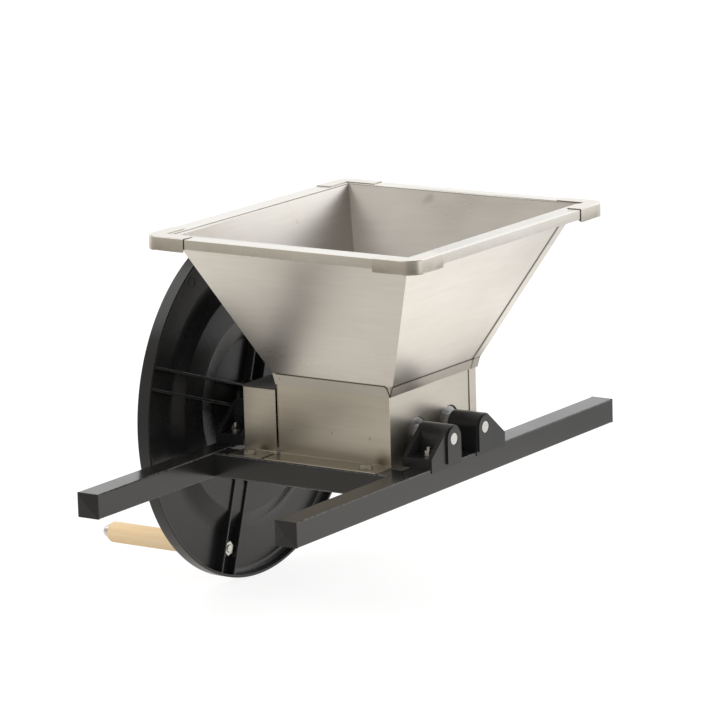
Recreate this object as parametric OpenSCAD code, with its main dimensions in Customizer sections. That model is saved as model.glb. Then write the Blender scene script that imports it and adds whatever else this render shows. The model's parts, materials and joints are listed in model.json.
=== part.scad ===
// Hand-cranked fruit crusher that lies across a tub: a stainless hopper over two toothed rollers,
// geared together and turned by a flywheel with a wooden crank grip.
// Axes: +X points away from the flywheel, -Y is the front, +Z is up.
// Origin: midway between the rails, on the plane of their undersides, below the middle of the shafts.

/* [Frame] */
// Length of each rail
rail_length = 700; // [600:10:900]
// Side of the square rail tube
rail_size = 30; // [26:1:36]
// Wall of the rail and cross tubes
tube_wall = 1.5; // [1.2:0.1:2.5]
// Width over the outer faces of the two rails
frame_width = 310; // [280:2:350]
// How far the middle of the rails lies in front of the shafts' middle
rail_lead = 12; // [0:1:40]
// Thickness of an end plug's square flange
plug_flange = 2; // [1:0.5:5]
// Height of an end plug's shallow pyramid
plug_point = 2.5; // [1:0.5:6]
// Length of an end plug's spigot inside the tube
plug_spigot = 14; // [8:1:30]

/* [Sheet metal] */
// Thickness of the stainless sheet
sheet = 1; // [0.8:0.1:1.5]
// Width of the strip by which one sheet laps over the next at a corner
lap_width = 15; // [8:1:20]

/* [Crushing box] */
// Gap between the box and the bearing blocks on its right
box_block_gap = 8; // [5:0.5:14]
// Depth of the box over its front and rear walls
box_depth = 188; // [180:1:220]
// How far the middle of the box lies in front of the shafts' middle
box_lead = 0; // [0:0.5:8]
// Height of the box walls above the rails
box_height = 97; // [85:1:120]
// How far the side walls hang below the top of the rails
box_hang = 22; // [5:1:28]
// Gap between the box wall and the cross tube beside it
cross_gap = 4; // [2:0.5:12]

/* [Gear guard] */
// Gap between the gear guard and the bearing blocks on its left
guard_block_gap = 11.1; // [8:0.1:14]
// Width of the gear guard
guard_width = 47; // [42:0.5:50]
// Gap between the gear guard and the box
guard_gap = 2.9; // [1:0.1:5]
// Height of the gear guard above the rails
guard_height = 77.5; // [70:0.5:80]
// Thickness of the cover plate on the guard
cover_thickness = 2; // [1:0.5:4]

/* [Hopper] */
// Height of the fold, where the walls start to slope, above the rails
fold_height = 98; // [98:1:125]
// How far the hopper's skirt reaches down from the fold
skirt_drop = 13; // [8:0.5:14]
// Height of the rim's top above the rails
rim_height = 278; // [230:1:330]
// Width of the mouth, along the shafts
mouth_width = 332; // [280:1:350]
// Length of the mouth, front to rear
mouth_length = 370; // [300:1:420]
// How far the middle of the mouth lies to the right of the frame's middle
mouth_shift = 34; // [30:1:60]
// Width of the rim outside the mouth
rim_width = 26; // [24:1:32]
// Depth of the rim's outer wall
rim_depth = 14; // [11:0.5:25]
// Length of a corner cap's legs
cap_leg = 59; // [45:1:90]
// Radius of a corner cap's outer corner
cap_corner = 20; // [12:1:23]
// Wall of a corner cap
cap_wall = 1; // [0.8:0.1:1.5]
// Depth of a corner cap's outer wall
cap_depth = 16.5; // [12:0.5:25]
// How far a corner cap's inner edges lie outside the mouth
cap_inset = 6; // [0:0.5:8]

/* [Bearing blocks] */
// Height of the shafts above the rails
shaft_rise = 28; // [25:0.5:34]
// Width of a block along the shaft
block_width = 40; // [32:1:42]
// Radius of the block's rounded head
head_radius = 17; // [14:0.5:19]
// Reach of the foot from the shaft's axis
foot_reach = 46.5; // [44:0.5:60]
// Height of the foot
foot_height = 12; // [8:0.5:13]
// Thickness of the two gusset webs
web_thickness = 6; // [4:0.5:6]
// Distance of the foot bolt from the shaft's axis
foot_bolt_reach = 27.5; // [26:0.5:36]
// Radius of the raised column round the shaft's end
boss_radius = 14.5; // [12:0.5:16]
// How far the raised column stands out of the block's outer side
boss_step = 2.5; // [1:0.5:4]
// How far the block's outer side stands out beyond the rail
side_over = 1; // [0.5:0.5:3]
// How far the block's lip reaches down over the rail's outer side
side_lip = 4.5; // [2:0.5:10]

/* [Gears] */
// Gear module: pitch diameter for each tooth
gear_module = 3; // [2.7:0.1:3.1]
// Number of teeth on each gear, which sets the distance between the shafts
gear_teeth = 23; // [22:1:24]
// Width of the gears' teeth
gear_face = 18; // [12:1:24]
// Pressure angle of the teeth
pressure_angle = 20; // [18:0.5:24]
// Play between the flanks of the teeth
backlash = 0.4; // [0.3:0.05:0.8]
// Radius of the gears' hubs
gear_hub_radius = 14; // [11:0.5:20]

/* [Rollers] */
// Radius of a roller's core
core_radius = 20.5; // [17:0.5:23]
// Gap between the teeth of one roller and the core of the other
tip_gap = 4.5; // [3:0.5:12]
// Depth of the roller teeth
tooth_depth = 15; // [8:0.5:18]
// Number of teeth on each toothed ring
ring_teeth = 6; // [4:1:9]
// Width of each toothed ring
ring_width = 8.5; // [6:0.5:14]
// Gap beside each toothed ring
ring_gap = 2; // [1:0.5:5]
// Gap between a roller's end and the wall of the box
roller_end_gap = 0.5; // [0.5:0.5:5]
// Radius of the neck at each end of a roller
neck_radius = 11; // [9:0.5:13]

/* [Shafts] */
// Diameter of the shafts
shaft_diameter = 14; // [12:0.5:16]
// Diameter of the threaded end that holds the flywheel
stub_diameter = 12; // [8:0.5:12]
// How far a shaft's end lies inside the block's outer face
shaft_inset = 0.5; // [0:0.5:3]
// Radius of the spacer sleeves beside the gears
sleeve_radius = 10; // [9:0.5:11]
// Radius of the cross pins
pin_radius = 2.5; // [1.5:0.25:3]
// Side of the square flywheel key
key_size = 5; // [3:0.5:5]

/* [Flywheel] */
// Outer diameter of the flywheel
wheel_diameter = 446; // [420:2:480]
// Distance from the rail's outer face to the wheel's lip
wheel_gap = 22.5; // [20:0.5:40]
// Width of the rim band
rim_band = 17; // [15:0.5:24]
// Thickness of the wheel's dished web
wheel_web = 3; // [2:0.5:5]
// Thickness of the rim band's lip
lip_thickness = 3.5; // [2.5:0.5:6]
// Outer radius of the raised ring
ring_outer = 143; // [130:1:150]
// Inner radius of the raised ring
ring_inner = 112; // [100:1:120]
// Radius of the hub
wheel_hub_radius = 23; // [18:0.5:28]
// Number of spokes, each of two ribs
spokes = 4; // [3:1:6]
// Distance between the two ribs of a spoke
rib_spacing = 26.5; // [24:0.5:40]
// Thickness of a rib
rib_thickness = 3; // [2:0.5:4]
// Turn of the crank at rest, from straight down towards the front
crank_angle = 18; // [0:1:45]

/* [Crank handle] */
// Distance of the grip's axis from the shaft's axis
crank_radius = 188; // [175:0.5:190]
// Length of the wooden grip
grip_length = 153; // [100:1:180]
// Diameter of the wooden grip
grip_diameter = 26.5; // [24:0.5:38]
// Diameter of the crank bolt
crank_bolt_diameter = 10; // [8:0.5:11]

/* [Fasteners] */
// Diameter of the bolts that hold the bearing blocks
foot_bolt_diameter = 6; // [5:0.5:6.5]
// Diameter of the bolts that hold the flanges
flange_bolt_diameter = 8; // [6:0.5:8]
// Distance of the flange bolts from the frame's middle
flange_bolt_reach = 84; // [78:0.5:88]

/* [Hidden] */
$fn = 64;

// Fits shared by all pieces
fit_gap = 0.05;
face_gap = 0.3;
seam_gap = 0.4;
overrun = 1;

// Frame
rail_top = rail_size;
rail_x = (frame_width - rail_size) / 2;
frame_out = frame_width / 2;
block_in = frame_out - block_width;
rail_y0 = -rail_lead - rail_length / 2;
plug_height = plug_flange + plug_point;
tube_length = rail_length - 2 * plug_height;
cross_length = frame_width - 2 * rail_size;
spigot_gap = 0.1;

// Gear guard and crushing box fill the width between the bearing blocks
guard_x0 = guard_block_gap - block_in;
guard_x1 = guard_x0 + guard_width;
guard_top = rail_top + guard_height;
box_x0 = guard_x1 + guard_gap;
box_x1 = block_in - box_block_gap;
box_y0 = -box_lead - box_depth / 2;
box_y1 = -box_lead + box_depth / 2;
box_bottom = rail_top + sheet;
box_top = rail_top + box_height;
lap = sheet + fit_gap;
lap_x0 = box_x0 + lap;
lap_x1 = box_x1 + lap;
flange_width = cross_gap + rail_size;
flange_clip = 4;
front_cross_y = box_y0 - flange_width;
rear_cross_y = box_y1 + cross_gap;

// Hopper: its skirt stands outside the box, and on the right outside the box's lapped strip
hopper_clear = 0.1;
fold_x0 = box_x0 - hopper_clear;
fold_x1 = lap_x1 + hopper_clear;
fold_y0 = box_y0 - hopper_clear;
fold_y1 = box_y1 + hopper_clear;
fold_z = rail_top + fold_height;
skirt_z = fold_z - skirt_drop;
rim_top = rail_top + rim_height;
mouth_x0 = mouth_shift - mouth_width / 2;
mouth_x1 = mouth_shift + mouth_width / 2;
mouth_y0 = -box_lead - mouth_length / 2;
mouth_y1 = -box_lead + mouth_length / 2;
cap_over = cap_wall + fit_gap;
rail_cap_top = rim_top - cap_over;
lip_top = rail_cap_top - sheet - fit_gap;
lip_reach = 12;
mitre = rim_width - cap_corner;
lap_top = lip_top - 3 * sheet;
hem = 6;

// Shafts and blocks
shaft_radius = shaft_diameter / 2;
shaft_gap = gear_module * gear_teeth;
rear_y = shaft_gap / 2;
front_y = -shaft_gap / 2;
shaft_z = rail_top + shaft_rise;
block_face = frame_out + side_over + boss_step;
bore_chamfer = 0.8;

// Rollers
roller_x0 = box_x0 + sheet + roller_end_gap;
roller_x1 = box_x1 - sheet - roller_end_gap;
tip_radius = shaft_gap - core_radius - tip_gap;
root_radius = tip_radius - tooth_depth;
ring_pitch = 2 * (ring_width + ring_gap);
ring_count = floor((roller_x1 - roller_x0 + ring_gap) / ring_pitch);
rings_length = ring_count * ring_pitch - ring_gap;
rings_x0 = (roller_x0 + roller_x1 - rings_length) / 2;
wall_hole_gap = 1;
neck_hole_gap = 1.5;
wall_hole_radius = core_radius + wall_hole_gap;
neck_hole_radius = neck_radius + neck_hole_gap;
// A tooth's outline, as shares of its pitch and of its depth
tooth_outline_shares = [[0, 0], [0.06, 0.9], [0.1, 1], [0.22, 1], [0.5, 0.62], [0.8, 0.12]];

// Gears
pitch_radius = gear_module * gear_teeth / 2;
gear_tip_radius = pitch_radius + gear_module;
gear_root_radius = pitch_radius - 1.25 * gear_module;
base_radius = pitch_radius * cos(pressure_angle);
flank_steps = 6;
gear_inner_gap = 4;
gear_outer_gap = 6;
gear_x1 = guard_x1 - gear_inner_gap;
gear_hub_length = guard_width - gear_inner_gap - gear_outer_gap;
gear_x0 = gear_x1 - gear_hub_length;
gear_face_x0 = (gear_x0 + gear_x1 - gear_face) / 2;
gear_recess = 3;
gear_rim = 5;
gear_pin_x = (gear_x0 + gear_face_x0) / 2;
sleeve_hole_gap = 2;
sleeve_hole_radius = sleeve_radius + sleeve_hole_gap;

// Flywheel, measured from the plane of its lip towards the frame
wheel_x = -frame_out - wheel_gap;
wheel_radius = wheel_diameter / 2;
wheel_back = -rim_band;
wheel_floor = wheel_back + wheel_web;
rib_edge = wheel_floor / 2;
ring_drop = 2;
ring_top = rib_edge - ring_drop;
hub_spacer_length = 15;
hub_front = frame_out + wheel_gap - block_face - hub_spacer_length - face_gap;
hub_proud = 4;
hub_back = wheel_back - hub_proud;
dish_rise = 1;
dish_floor = wheel_floor + dish_rise;
ring_bevel = 3;
back_ease = 1;
hub_ease = 6;
floor_fillet = 5;
lip_round = 0.8;
ring_slope = 15;
dish_slope = 34;
boss_rib_gap = 1;
inner_boss_radius = rib_spacing / 2 - rib_thickness / 2 - boss_rib_gap;
inner_boss_height = 0.5;
outer_boss_height = 6;
outer_boss_radius = 14;
key_inset = 4;
shaft_shoulder = 2;

// Crank, measured as the flywheel is
crank_bolt_radius = crank_bolt_diameter / 2;
washer_thickness = 1.6;
crank_nut_height = 0.8 * crank_bolt_diameter;
thin_nut_height = 0.5 * crank_bolt_diameter;
inner_seat = wheel_floor + inner_boss_height;
outer_seat = wheel_back - outer_boss_height;
inner_nut_end = inner_seat + washer_thickness + thin_nut_height;
bolt_tip = 1.5;
outer_nut_end = outer_seat - washer_thickness - crank_nut_height;
grip_start = outer_nut_end - washer_thickness - face_gap;
grip_end = grip_start - grip_length;
dome_start = grip_end - face_gap - washer_thickness;
dome_collar = 2.5;
dome_radius = 0.8 * crank_bolt_diameter;
grip_round = 4;

// Fasteners
foot_bolt_radius = foot_bolt_diameter / 2;
foot_bolt_head = 3;
foot_nut_height = 0.8 * foot_bolt_diameter;
foot_bolt_tip = 4;
flange_bolt_radius = flange_bolt_diameter / 2;
flange_head_height = 0.4 * flange_bolt_diameter;
flange_bolt_below = 9;
stub_radius = stub_diameter / 2;
hub_nut_height = 0.8 * stub_diameter;
hub_washer_thickness = 2.5;
stub_tip = 3;
// Widths over the corners of nuts and bolt heads, and over washers, as shares of the thread
nut_share = 0.93;
washer_share = 1.05;

black = [0.10, 0.10, 0.11];
steel = [0.78, 0.77, 0.75];
zinc = [0.82, 0.82, 0.80];
alloy = [0.70, 0.71, 0.72];
wood = [0.87, 0.72, 0.50];

// Points on an arc, from angle a0 to a1
function arc(cx, cy, r, a0, a1, steps) =
    [for (i = [0 : steps]) let (a = a0 + (a1 - a0) * i / steps) [cx + r * cos(a), cy + r * sin(a)]];

// Helpers

// A block between two opposite corners
module block(low, high) {
    translate(low) cube(high - low);
}

// An outline drawn in Y and Z, extruded along X
module along_x(x0, x1) {
    translate([x0, 0, 0]) rotate([90, 0, 90]) linear_extrude(x1 - x0) children();
}

// An outline drawn as radius and X, turned about the X axis
module turned_x() {
    rotate([0, 90, 0]) rotate_extrude($fn = 96) children();
}

module rod_x(x0, x1, r) {
    translate([x0, 0, 0]) rotate([0, 90, 0]) cylinder(h = x1 - x0, r = r);
}

module ring_x(x0, x1, r_out, r_in) {
    difference() {
        rod_x(x0, x1, r_out);
        rod_x(x0 - overrun, x1 + overrun, r_in);
    }
}

module hex_nut(height, thread_r) {
    difference() {
        cylinder(h = height, r = 2 * thread_r * nut_share, $fn = 6);
        translate([0, 0, -overrun]) cylinder(h = height + 2 * overrun, r = thread_r + fit_gap);
    }
}

module washer(height, thread_r) {
    difference() {
        cylinder(h = height, r = 2 * thread_r * washer_share);
        translate([0, 0, -overrun]) cylinder(h = height + 2 * overrun, r = thread_r + 2 * fit_gap);
    }
}

module at_rear_shaft() {
    translate([0, rear_y, shaft_z]) children();
}

module at_front_shaft() {
    translate([0, front_y, shaft_z]) children();
}

// Frame

module rail(x) {
    inner = rail_size - 2 * tube_wall;
    y0 = rail_y0 + plug_height;
    color(black) difference() {
        translate([x - rail_size / 2, y0, 0]) cube([rail_size, tube_length, rail_size]);
        translate([x - inner / 2, y0 - overrun, tube_wall]) cube([inner, tube_length + 2 * overrun, inner]);
        for (end = [-1, 1])
            translate([x, end * (shaft_gap / 2 + foot_bolt_reach), rail_top - tube_wall - overrun])
                cylinder(h = tube_wall + 2 * overrun, r = foot_bolt_radius + fit_gap);
    }
}

module left_rail() {
    rail(-rail_x);
}

module right_rail() {
    rail(rail_x);
}

// A plug drawn with its flange's inner face at zero and its point towards -Y
module end_plug() {
    inner = rail_size - 2 * tube_wall - 2 * spigot_gap;
    half = rail_size / 2;
    block([-half, -plug_flange, 0], [half, 0, rail_size]);
    block([-inner / 2, 0, tube_wall + spigot_gap], [inner / 2, plug_spigot, rail_size - tube_wall - spigot_gap]);
    polyhedron(
        points = [
            [-half, -plug_flange, 0], [half, -plug_flange, 0],
            [half, -plug_flange, rail_size], [-half, -plug_flange, rail_size],
            [0, -plug_height, half]
        ],
        faces = [[0, 1, 2, 3], [1, 0, 4], [2, 1, 4], [3, 2, 4], [0, 3, 4]]
    );
}

module rail_end_plugs() {
    color(black) for (side = [-1, 1]) {
        translate([side * rail_x, rail_y0 + plug_height, 0]) end_plug();
        translate([side * rail_x, rail_y0 + rail_length - plug_height, 0]) mirror([0, 1, 0]) end_plug();
    }
}

module cross_tube(y) {
    color(black) difference() {
        block([-cross_length / 2, y, 0], [cross_length / 2, y + rail_size, rail_size]);
        block(
            [-cross_length / 2 - overrun, y + tube_wall, tube_wall],
            [cross_length / 2 + overrun, y + rail_size - tube_wall, rail_size - tube_wall]
        );
        for (side = [-1, 1])
            translate([side * flange_bolt_reach, y + rail_size / 2, rail_top - tube_wall - overrun])
                cylinder(h = tube_wall + 2 * overrun, r = flange_bolt_radius + fit_gap);
    }
}

module front_cross_tube() {
    cross_tube(front_cross_y);
}

module rear_cross_tube() {
    cross_tube(rear_cross_y);
}

// Bearing blocks

// Outline of the web beside the pocket: a foot with a ramp up to the head
module block_web_outline() {
    foot_z = foot_height - shaft_rise;
    reach = sqrt(foot_reach * foot_reach + foot_z * foot_z);
    tangent = 180 + atan(-foot_z / foot_reach) - acos(head_radius / reach);
    polygon(concat(
        [[0, -shaft_rise], [0, head_radius]],
        arc(0, 0, head_radius, 90, tangent, 4),
        [[-foot_reach, foot_z], [-foot_reach, -shaft_rise]]
    ));
}

// A head round the shaft's axis on a column down to the rail
module column_outline(r) {
    circle(r);
    translate([-r, -shaft_rise]) square([2 * r, shaft_rise]);
}

// A block with its shaft's axis at the origin, the rail's outer side at zero and its foot towards -Y
module bearing_block() {
    face = side_over + boss_step;
    difference() {
        union() {
            along_x(-block_width, side_over) column_outline(head_radius);
            along_x(side_over - sheet, face) column_outline(boss_radius);
            along_x(-block_width, side_over) translate([-foot_reach, -shaft_rise]) square([foot_reach, foot_height]);
            along_x(side_over - web_thickness, side_over) block_web_outline();
            along_x(-block_width, web_thickness - block_width) block_web_outline();
            block([fit_gap, -foot_reach, -shaft_rise - side_lip], [side_over, head_radius, -shaft_rise + sheet]);
        }
        rod_x(-block_width - overrun, face + overrun, shaft_radius + fit_gap);
        translate([face - bore_chamfer, 0, 0]) rotate([0, 90, 0])
            cylinder(h = 2 * bore_chamfer, r1 = shaft_radius + fit_gap, r2 = shaft_radius + fit_gap + 2 * bore_chamfer);
        translate([-rail_size / 2, -foot_bolt_reach, -shaft_rise - overrun])
            cylinder(h = foot_height + 2 * overrun, r = foot_bolt_radius + face_gap);
    }
}

module front_right_block() {
    color(black) translate([frame_out, front_y, shaft_z]) bearing_block();
}

module rear_right_block() {
    color(black) translate([frame_out, rear_y, shaft_z]) mirror([0, 1, 0]) bearing_block();
}

module front_left_block() {
    color(black) translate([-frame_out, front_y, shaft_z]) mirror([1, 0, 0]) bearing_block();
}

module rear_left_block() {
    color(black) translate([-frame_out, rear_y, shaft_z]) mirror([1, 0, 0]) mirror([0, 1, 0]) bearing_block();
}

module at_foot_bolts(height) {
    for (side = [-1, 1], end = [-1, 1])
        translate([side * rail_x, end * (shaft_gap / 2 + foot_bolt_reach), height]) children();
}

module block_bolts() {
    under = rail_top - tube_wall;
    top = rail_top + foot_height + washer_thickness + foot_nut_height + foot_bolt_tip;
    color(zinc) at_foot_bolts(0) {
        translate([0, 0, under - foot_bolt_head]) cylinder(h = foot_bolt_head, r = 2 * foot_bolt_radius);
        translate([0, 0, under - foot_bolt_head / 2])
            cylinder(h = top - under + foot_bolt_head / 2 - overrun, r = foot_bolt_radius);
        translate([0, 0, top - overrun])
            cylinder(h = overrun, r1 = foot_bolt_radius, r2 = foot_bolt_radius - overrun / 2);
    }
}

module block_washers() {
    color(zinc) at_foot_bolts(rail_top + foot_height) washer(washer_thickness, foot_bolt_radius);
}

module block_nuts() {
    color(zinc) at_foot_bolts(rail_top + foot_height + washer_thickness) hex_nut(foot_nut_height, foot_bolt_radius);
}

// Crushing box: front and right walls in one sheet, rear and left walls in the other

module box_flange(x0, x1, y0, y1, clip) {
    front = y0 < 0;
    wall_y = front ? y1 : y0;
    far_y = front ? y0 : y1;
    translate([0, 0, rail_top]) linear_extrude(sheet)
        polygon([[x0, wall_y], [x1 + clip, wall_y], [x1, far_y], [x0, far_y]]);
}

module flange_bolt_hole(x, y) {
    translate([x, y, rail_top - overrun]) cylinder(h = sheet + 2 * overrun, r = flange_bolt_radius + fit_gap);
}

module box_front_right_sheet() {
    color(steel) difference() {
        union() {
            block([lap_x0, box_y0, rail_top], [box_x1, box_y0 + sheet, box_top]);
            block([box_x1 - sheet, box_y0, rail_top - box_hang], [box_x1, box_y1 - lap, box_top]);
            block([lap_x0, box_y0, box_bottom], [lap_x0 + sheet, box_y0 + lap_width, box_top]);
            box_flange(lap_x0, box_x1, front_cross_y, box_y0 + sheet, flange_clip);
        }
        for (y = [front_y, rear_y]) translate([0, y, shaft_z])
            rod_x(box_x1 - sheet - overrun, box_x1 + overrun, wall_hole_radius);
        flange_bolt_hole(flange_bolt_reach, front_cross_y + rail_size / 2);
    }
}

module box_rear_left_sheet() {
    color(steel) difference() {
        union() {
            block([box_x0, box_y1 - sheet, rail_top], [lap_x1, box_y1, box_top]);
            block([box_x0, box_y0, rail_top - box_hang], [box_x0 + sheet, box_y1, box_top]);
            block([lap_x1 - sheet, box_y1 - lap_width, box_bottom], [lap_x1, box_y1, box_top]);
            box_flange(box_x0, lap_x1, box_y1 - sheet, rear_cross_y + rail_size, flange_clip);
        }
        for (y = [front_y, rear_y]) translate([0, y, shaft_z])
            rod_x(box_x0 - overrun, box_x0 + sheet + overrun, neck_hole_radius);
        flange_bolt_hole(flange_bolt_reach, rear_cross_y + rail_size / 2);
    }
}

// Gear guard: front strip, outer wall and rear strip in one sheet

module gear_guard() {
    color(steel) difference() {
        union() {
            block([guard_x0, box_y0, rail_top], [guard_x1, box_y0 + sheet, guard_top]);
            block([guard_x0, box_y1 - sheet, rail_top], [guard_x1, box_y1, guard_top]);
            block([guard_x0, box_y0, box_bottom], [guard_x0 + sheet, box_y1, guard_top]);
            box_flange(guard_x0, guard_x1, front_cross_y, box_y0 + sheet, 0);
            box_flange(guard_x0, guard_x1, box_y1 - sheet, rear_cross_y + rail_size, 0);
        }
        for (y = [front_y, rear_y]) translate([0, y, shaft_z])
            rod_x(guard_x0 - overrun, guard_x0 + sheet + overrun, sleeve_hole_radius);
        flange_bolt_hole(-flange_bolt_reach, front_cross_y + rail_size / 2);
        flange_bolt_hole(-flange_bolt_reach, rear_cross_y + rail_size / 2);
    }
}

module gear_cover_plate() {
    color(black) block(
        [guard_x0 - cover_thickness / 2, box_y0 - cover_thickness / 2, guard_top],
        [guard_x1, box_y1 + cover_thickness / 2, guard_top + cover_thickness]
    );
}

module at_flange_bolts(height) {
    for (side = [-1, 1], y = [front_cross_y, rear_cross_y])
        translate([side * flange_bolt_reach, y + rail_size / 2, height]) children();
}

module flange_bolts() {
    seat = rail_top + sheet + washer_thickness;
    color(zinc) at_flange_bolts(0) {
        translate([0, 0, seat]) cylinder(h = flange_head_height, r = 2 * flange_bolt_radius * nut_share, $fn = 6);
        translate([0, 0, seat - flange_bolt_below])
            cylinder(h = flange_bolt_below + flange_head_height / 2, r = flange_bolt_radius);
    }
}

module flange_washers() {
    color(zinc) at_flange_bolts(rail_top + sheet) washer(washer_thickness, flange_bolt_radius);
}

// Hopper

// A solid with a level bottom and top and four flat sides
module frustum(low0, high0, z0, low1, high1, z1) {
    polyhedron(
        points = [
            [low0.x, low0.y, z0], [high0.x, low0.y, z0], [high0.x, high0.y, z0], [low0.x, high0.y, z0],
            [low1.x, low1.y, z1], [high1.x, low1.y, z1], [high1.x, high1.y, z1], [low1.x, high1.y, z1]
        ],
        faces = [[0, 1, 2, 3], [4, 7, 6, 5], [0, 4, 5, 1], [1, 5, 6, 2], [2, 6, 7, 3], [3, 7, 4, 0]]
    );
}

// The hopper's inside with each side grown outwards by its own amount: left, right, front, rear
module hopper_form(grow, over) {
    slope = (lip_top - fold_z) / over;
    low = [grow[0], grow[2]];
    high = [grow[1], grow[3]];
    lean_low = [(mouth_x0 - fold_x0) / slope, (mouth_y0 - fold_y0) / slope];
    lean_high = [(mouth_x1 - fold_x1) / slope, (mouth_y1 - fold_y1) / slope];
    block(
        [fold_x0 - low.x, fold_y0 - low.y, skirt_z - over],
        [fold_x1 + high.x, fold_y1 + high.y, fold_z]
    );
    frustum(
        [fold_x0, fold_y0] - low, [fold_x1, fold_y1] + high, fold_z,
        [mouth_x0, mouth_y0] - low + lean_low, [mouth_x1, mouth_y1] + high + lean_high, lip_top + over
    );
}

// The space between two heights, wider than the rim
module hopper_level(z0, z1) {
    block(
        [mouth_x0 - rim_width, mouth_y0 - rim_width, z0],
        [mouth_x1 + rim_width, mouth_y1 + rim_width, z1]
    );
}

// Seen from above, the far end of a hopper corner's line, beyond the rim
function corner_end(fold, mouth) = mouth + (mouth - fold) * rim_width / abs((mouth - fold).x);

fold_front_left = [fold_x0, fold_y0];
fold_rear_right = [fold_x1, fold_y1];
end_front_left = corner_end(fold_front_left, [mouth_x0, mouth_y0]);
end_rear_right = corner_end(fold_rear_right, [mouth_x1, mouth_y1]);

// The level lip round the mouth, which carries the rim rails, and the top band of the walls
module hopper_top_band() {
    none = [0, 0, 0, 0];
    difference() {
        union() {
            intersection() {
                hopper_form(none + [sheet, sheet, sheet, sheet], overrun);
                hopper_level(lap_top, lip_top);
            }
            block(
                [mouth_x0 - lip_reach, mouth_y0 - lip_reach, lip_top - sheet],
                [mouth_x1 + lip_reach, mouth_y1 + lip_reach, lip_top]
            );
        }
        hopper_form(none, 2 * overrun);
    }
}

// Everything to the front and right of the two lapped corners, seen from above
module front_right_side() {
    translate([0, 0, skirt_z]) linear_extrude(rim_height)
        polygon([end_front_left, fold_front_left, fold_rear_right, end_rear_right, [end_rear_right.x, end_front_left.y]]);
}

// The side wall beside a lapped strip, seen from above: all beyond the strip's edge
module beyond_strip(fold, end, way) {
    step = [0, way * lap_width];
    depth = [0, way * 2 * mouth_length];
    inside = [way * 2 * lap, 0];
    translate([0, 0, skirt_z - overrun]) linear_extrude(rim_height)
        polygon([fold + step + inside, fold + step, end + step, end + depth, fold + depth + inside]);
}

module hopper_front_right_sheet() {
    color(steel) {
        difference() {
            intersection() {
                hopper_form([-fit_gap, sheet, sheet, -fit_gap], overrun);
                hopper_level(skirt_z, lap_top);
            }
            hopper_form([-lap, 0, 0, mouth_length], 2 * overrun);
            beyond_strip(fold_front_left, end_front_left, 1);
            block([fold_x0, fold_y0, skirt_z - overrun], [fold_x0 + 2 * lap, fold_y0 + 2 * lap_width, fold_z]);
        }
        intersection() {
            hopper_top_band();
            front_right_side();
        }
    }
}

module hopper_rear_left_sheet() {
    color(steel) {
        difference() {
            intersection() {
                hopper_form([sheet, lap + sheet, sheet, sheet], overrun);
                hopper_level(skirt_z, lap_top);
            }
            hopper_form([0, lap, mouth_length, 0], 2 * overrun);
            beyond_strip(fold_rear_right, end_rear_right, -1);
        }
        difference() {
            hopper_top_band();
            front_right_side();
        }
    }
}

// Cross-section of a rim rail: distance outwards from the mouth, and height
module rim_section() {
    outer = rim_width - cap_over;
    bottom = rim_top - rim_depth + cap_over;
    polygon([
        [0, rail_cap_top - sheet], [outer - sheet, rail_cap_top - sheet], [outer - sheet, bottom + sheet],
        [outer - hem, bottom + sheet], [outer - hem, bottom], [outer, bottom], [outer, rail_cap_top],
        [0, rail_cap_top]
    ]);
}

// A rim rail that starts at the origin and runs along X with its outer wall towards +Y. Its ends are
// mitred beside the mouth and square where a corner cap hides them.
module rim_rail(span) {
    end = span + mitre - seam_gap;
    intersection() {
        translate([-mitre, 0, 0]) rotate([90, 0, 90]) linear_extrude(span + 2 * mitre) rim_section();
        translate([0, 0, rim_top - rim_depth]) linear_extrude(rim_depth) polygon([
            [seam_gap, 0], [span - seam_gap, 0], [end, mitre], [end, rim_width],
            [span - end, rim_width], [span - end, mitre]
        ]);
    }
}

module front_rim_rail() {
    color(steel) translate([mouth_x0, mouth_y0, 0]) mirror([0, 1, 0]) rim_rail(mouth_width);
}

module rear_rim_rail() {
    color(steel) translate([mouth_x0, mouth_y1, 0]) rim_rail(mouth_width);
}

module left_rim_rail() {
    color(steel) translate([mouth_x0, mouth_y0, 0]) rotate([0, 0, 90]) rim_rail(mouth_length);
}

module right_rim_rail() {
    color(steel) translate([mouth_x1, mouth_y1, 0]) rotate([0, 0, -90]) rim_rail(mouth_length);
}

// An L seen from above, its outer corner at the origin and its legs along +X and +Y
module cap_outline() {
    difference() {
        union() {
            translate([cap_corner, cap_corner]) circle(cap_corner);
            translate([cap_corner, 0]) square([cap_leg - cap_corner, cap_leg]);
            translate([0, cap_corner]) square([cap_corner, cap_leg - cap_corner]);
        }
        translate([rim_width - cap_inset, rim_width - cap_inset]) square(cap_leg);
    }
}

// The hollow below a cap: its outline less the outer wall, open at the legs' ends and towards the mouth
module cap_hollow() {
    corner = cap_corner - cap_wall;
    translate([corner, corner]) circle(corner);
    translate([corner, 0]) square(cap_leg);
    translate([0, corner]) square(cap_leg);
}

module corner_cap() {
    difference() {
        translate([0, 0, rim_top - cap_depth]) linear_extrude(cap_depth) cap_outline();
        translate([cap_wall, cap_wall, rim_top - cap_depth - overrun])
            linear_extrude(cap_depth + overrun - cap_wall) cap_hollow();
    }
}

module rim_corner_caps() {
    x0 = mouth_x0 - rim_width;
    x1 = mouth_x1 + rim_width;
    y0 = mouth_y0 - rim_width;
    y1 = mouth_y1 + rim_width;
    color(steel) {
        translate([x0, y0, 0]) corner_cap();
        translate([x1, y0, 0]) mirror([1, 0, 0]) corner_cap();
        translate([x0, y1, 0]) mirror([0, 1, 0]) corner_cap();
        translate([x1, y1, 0]) mirror([1, 0, 0]) mirror([0, 1, 0]) corner_cap();
    }
}

// Rollers: a cast core with toothed rings, each ring turned a little further than the last

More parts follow.
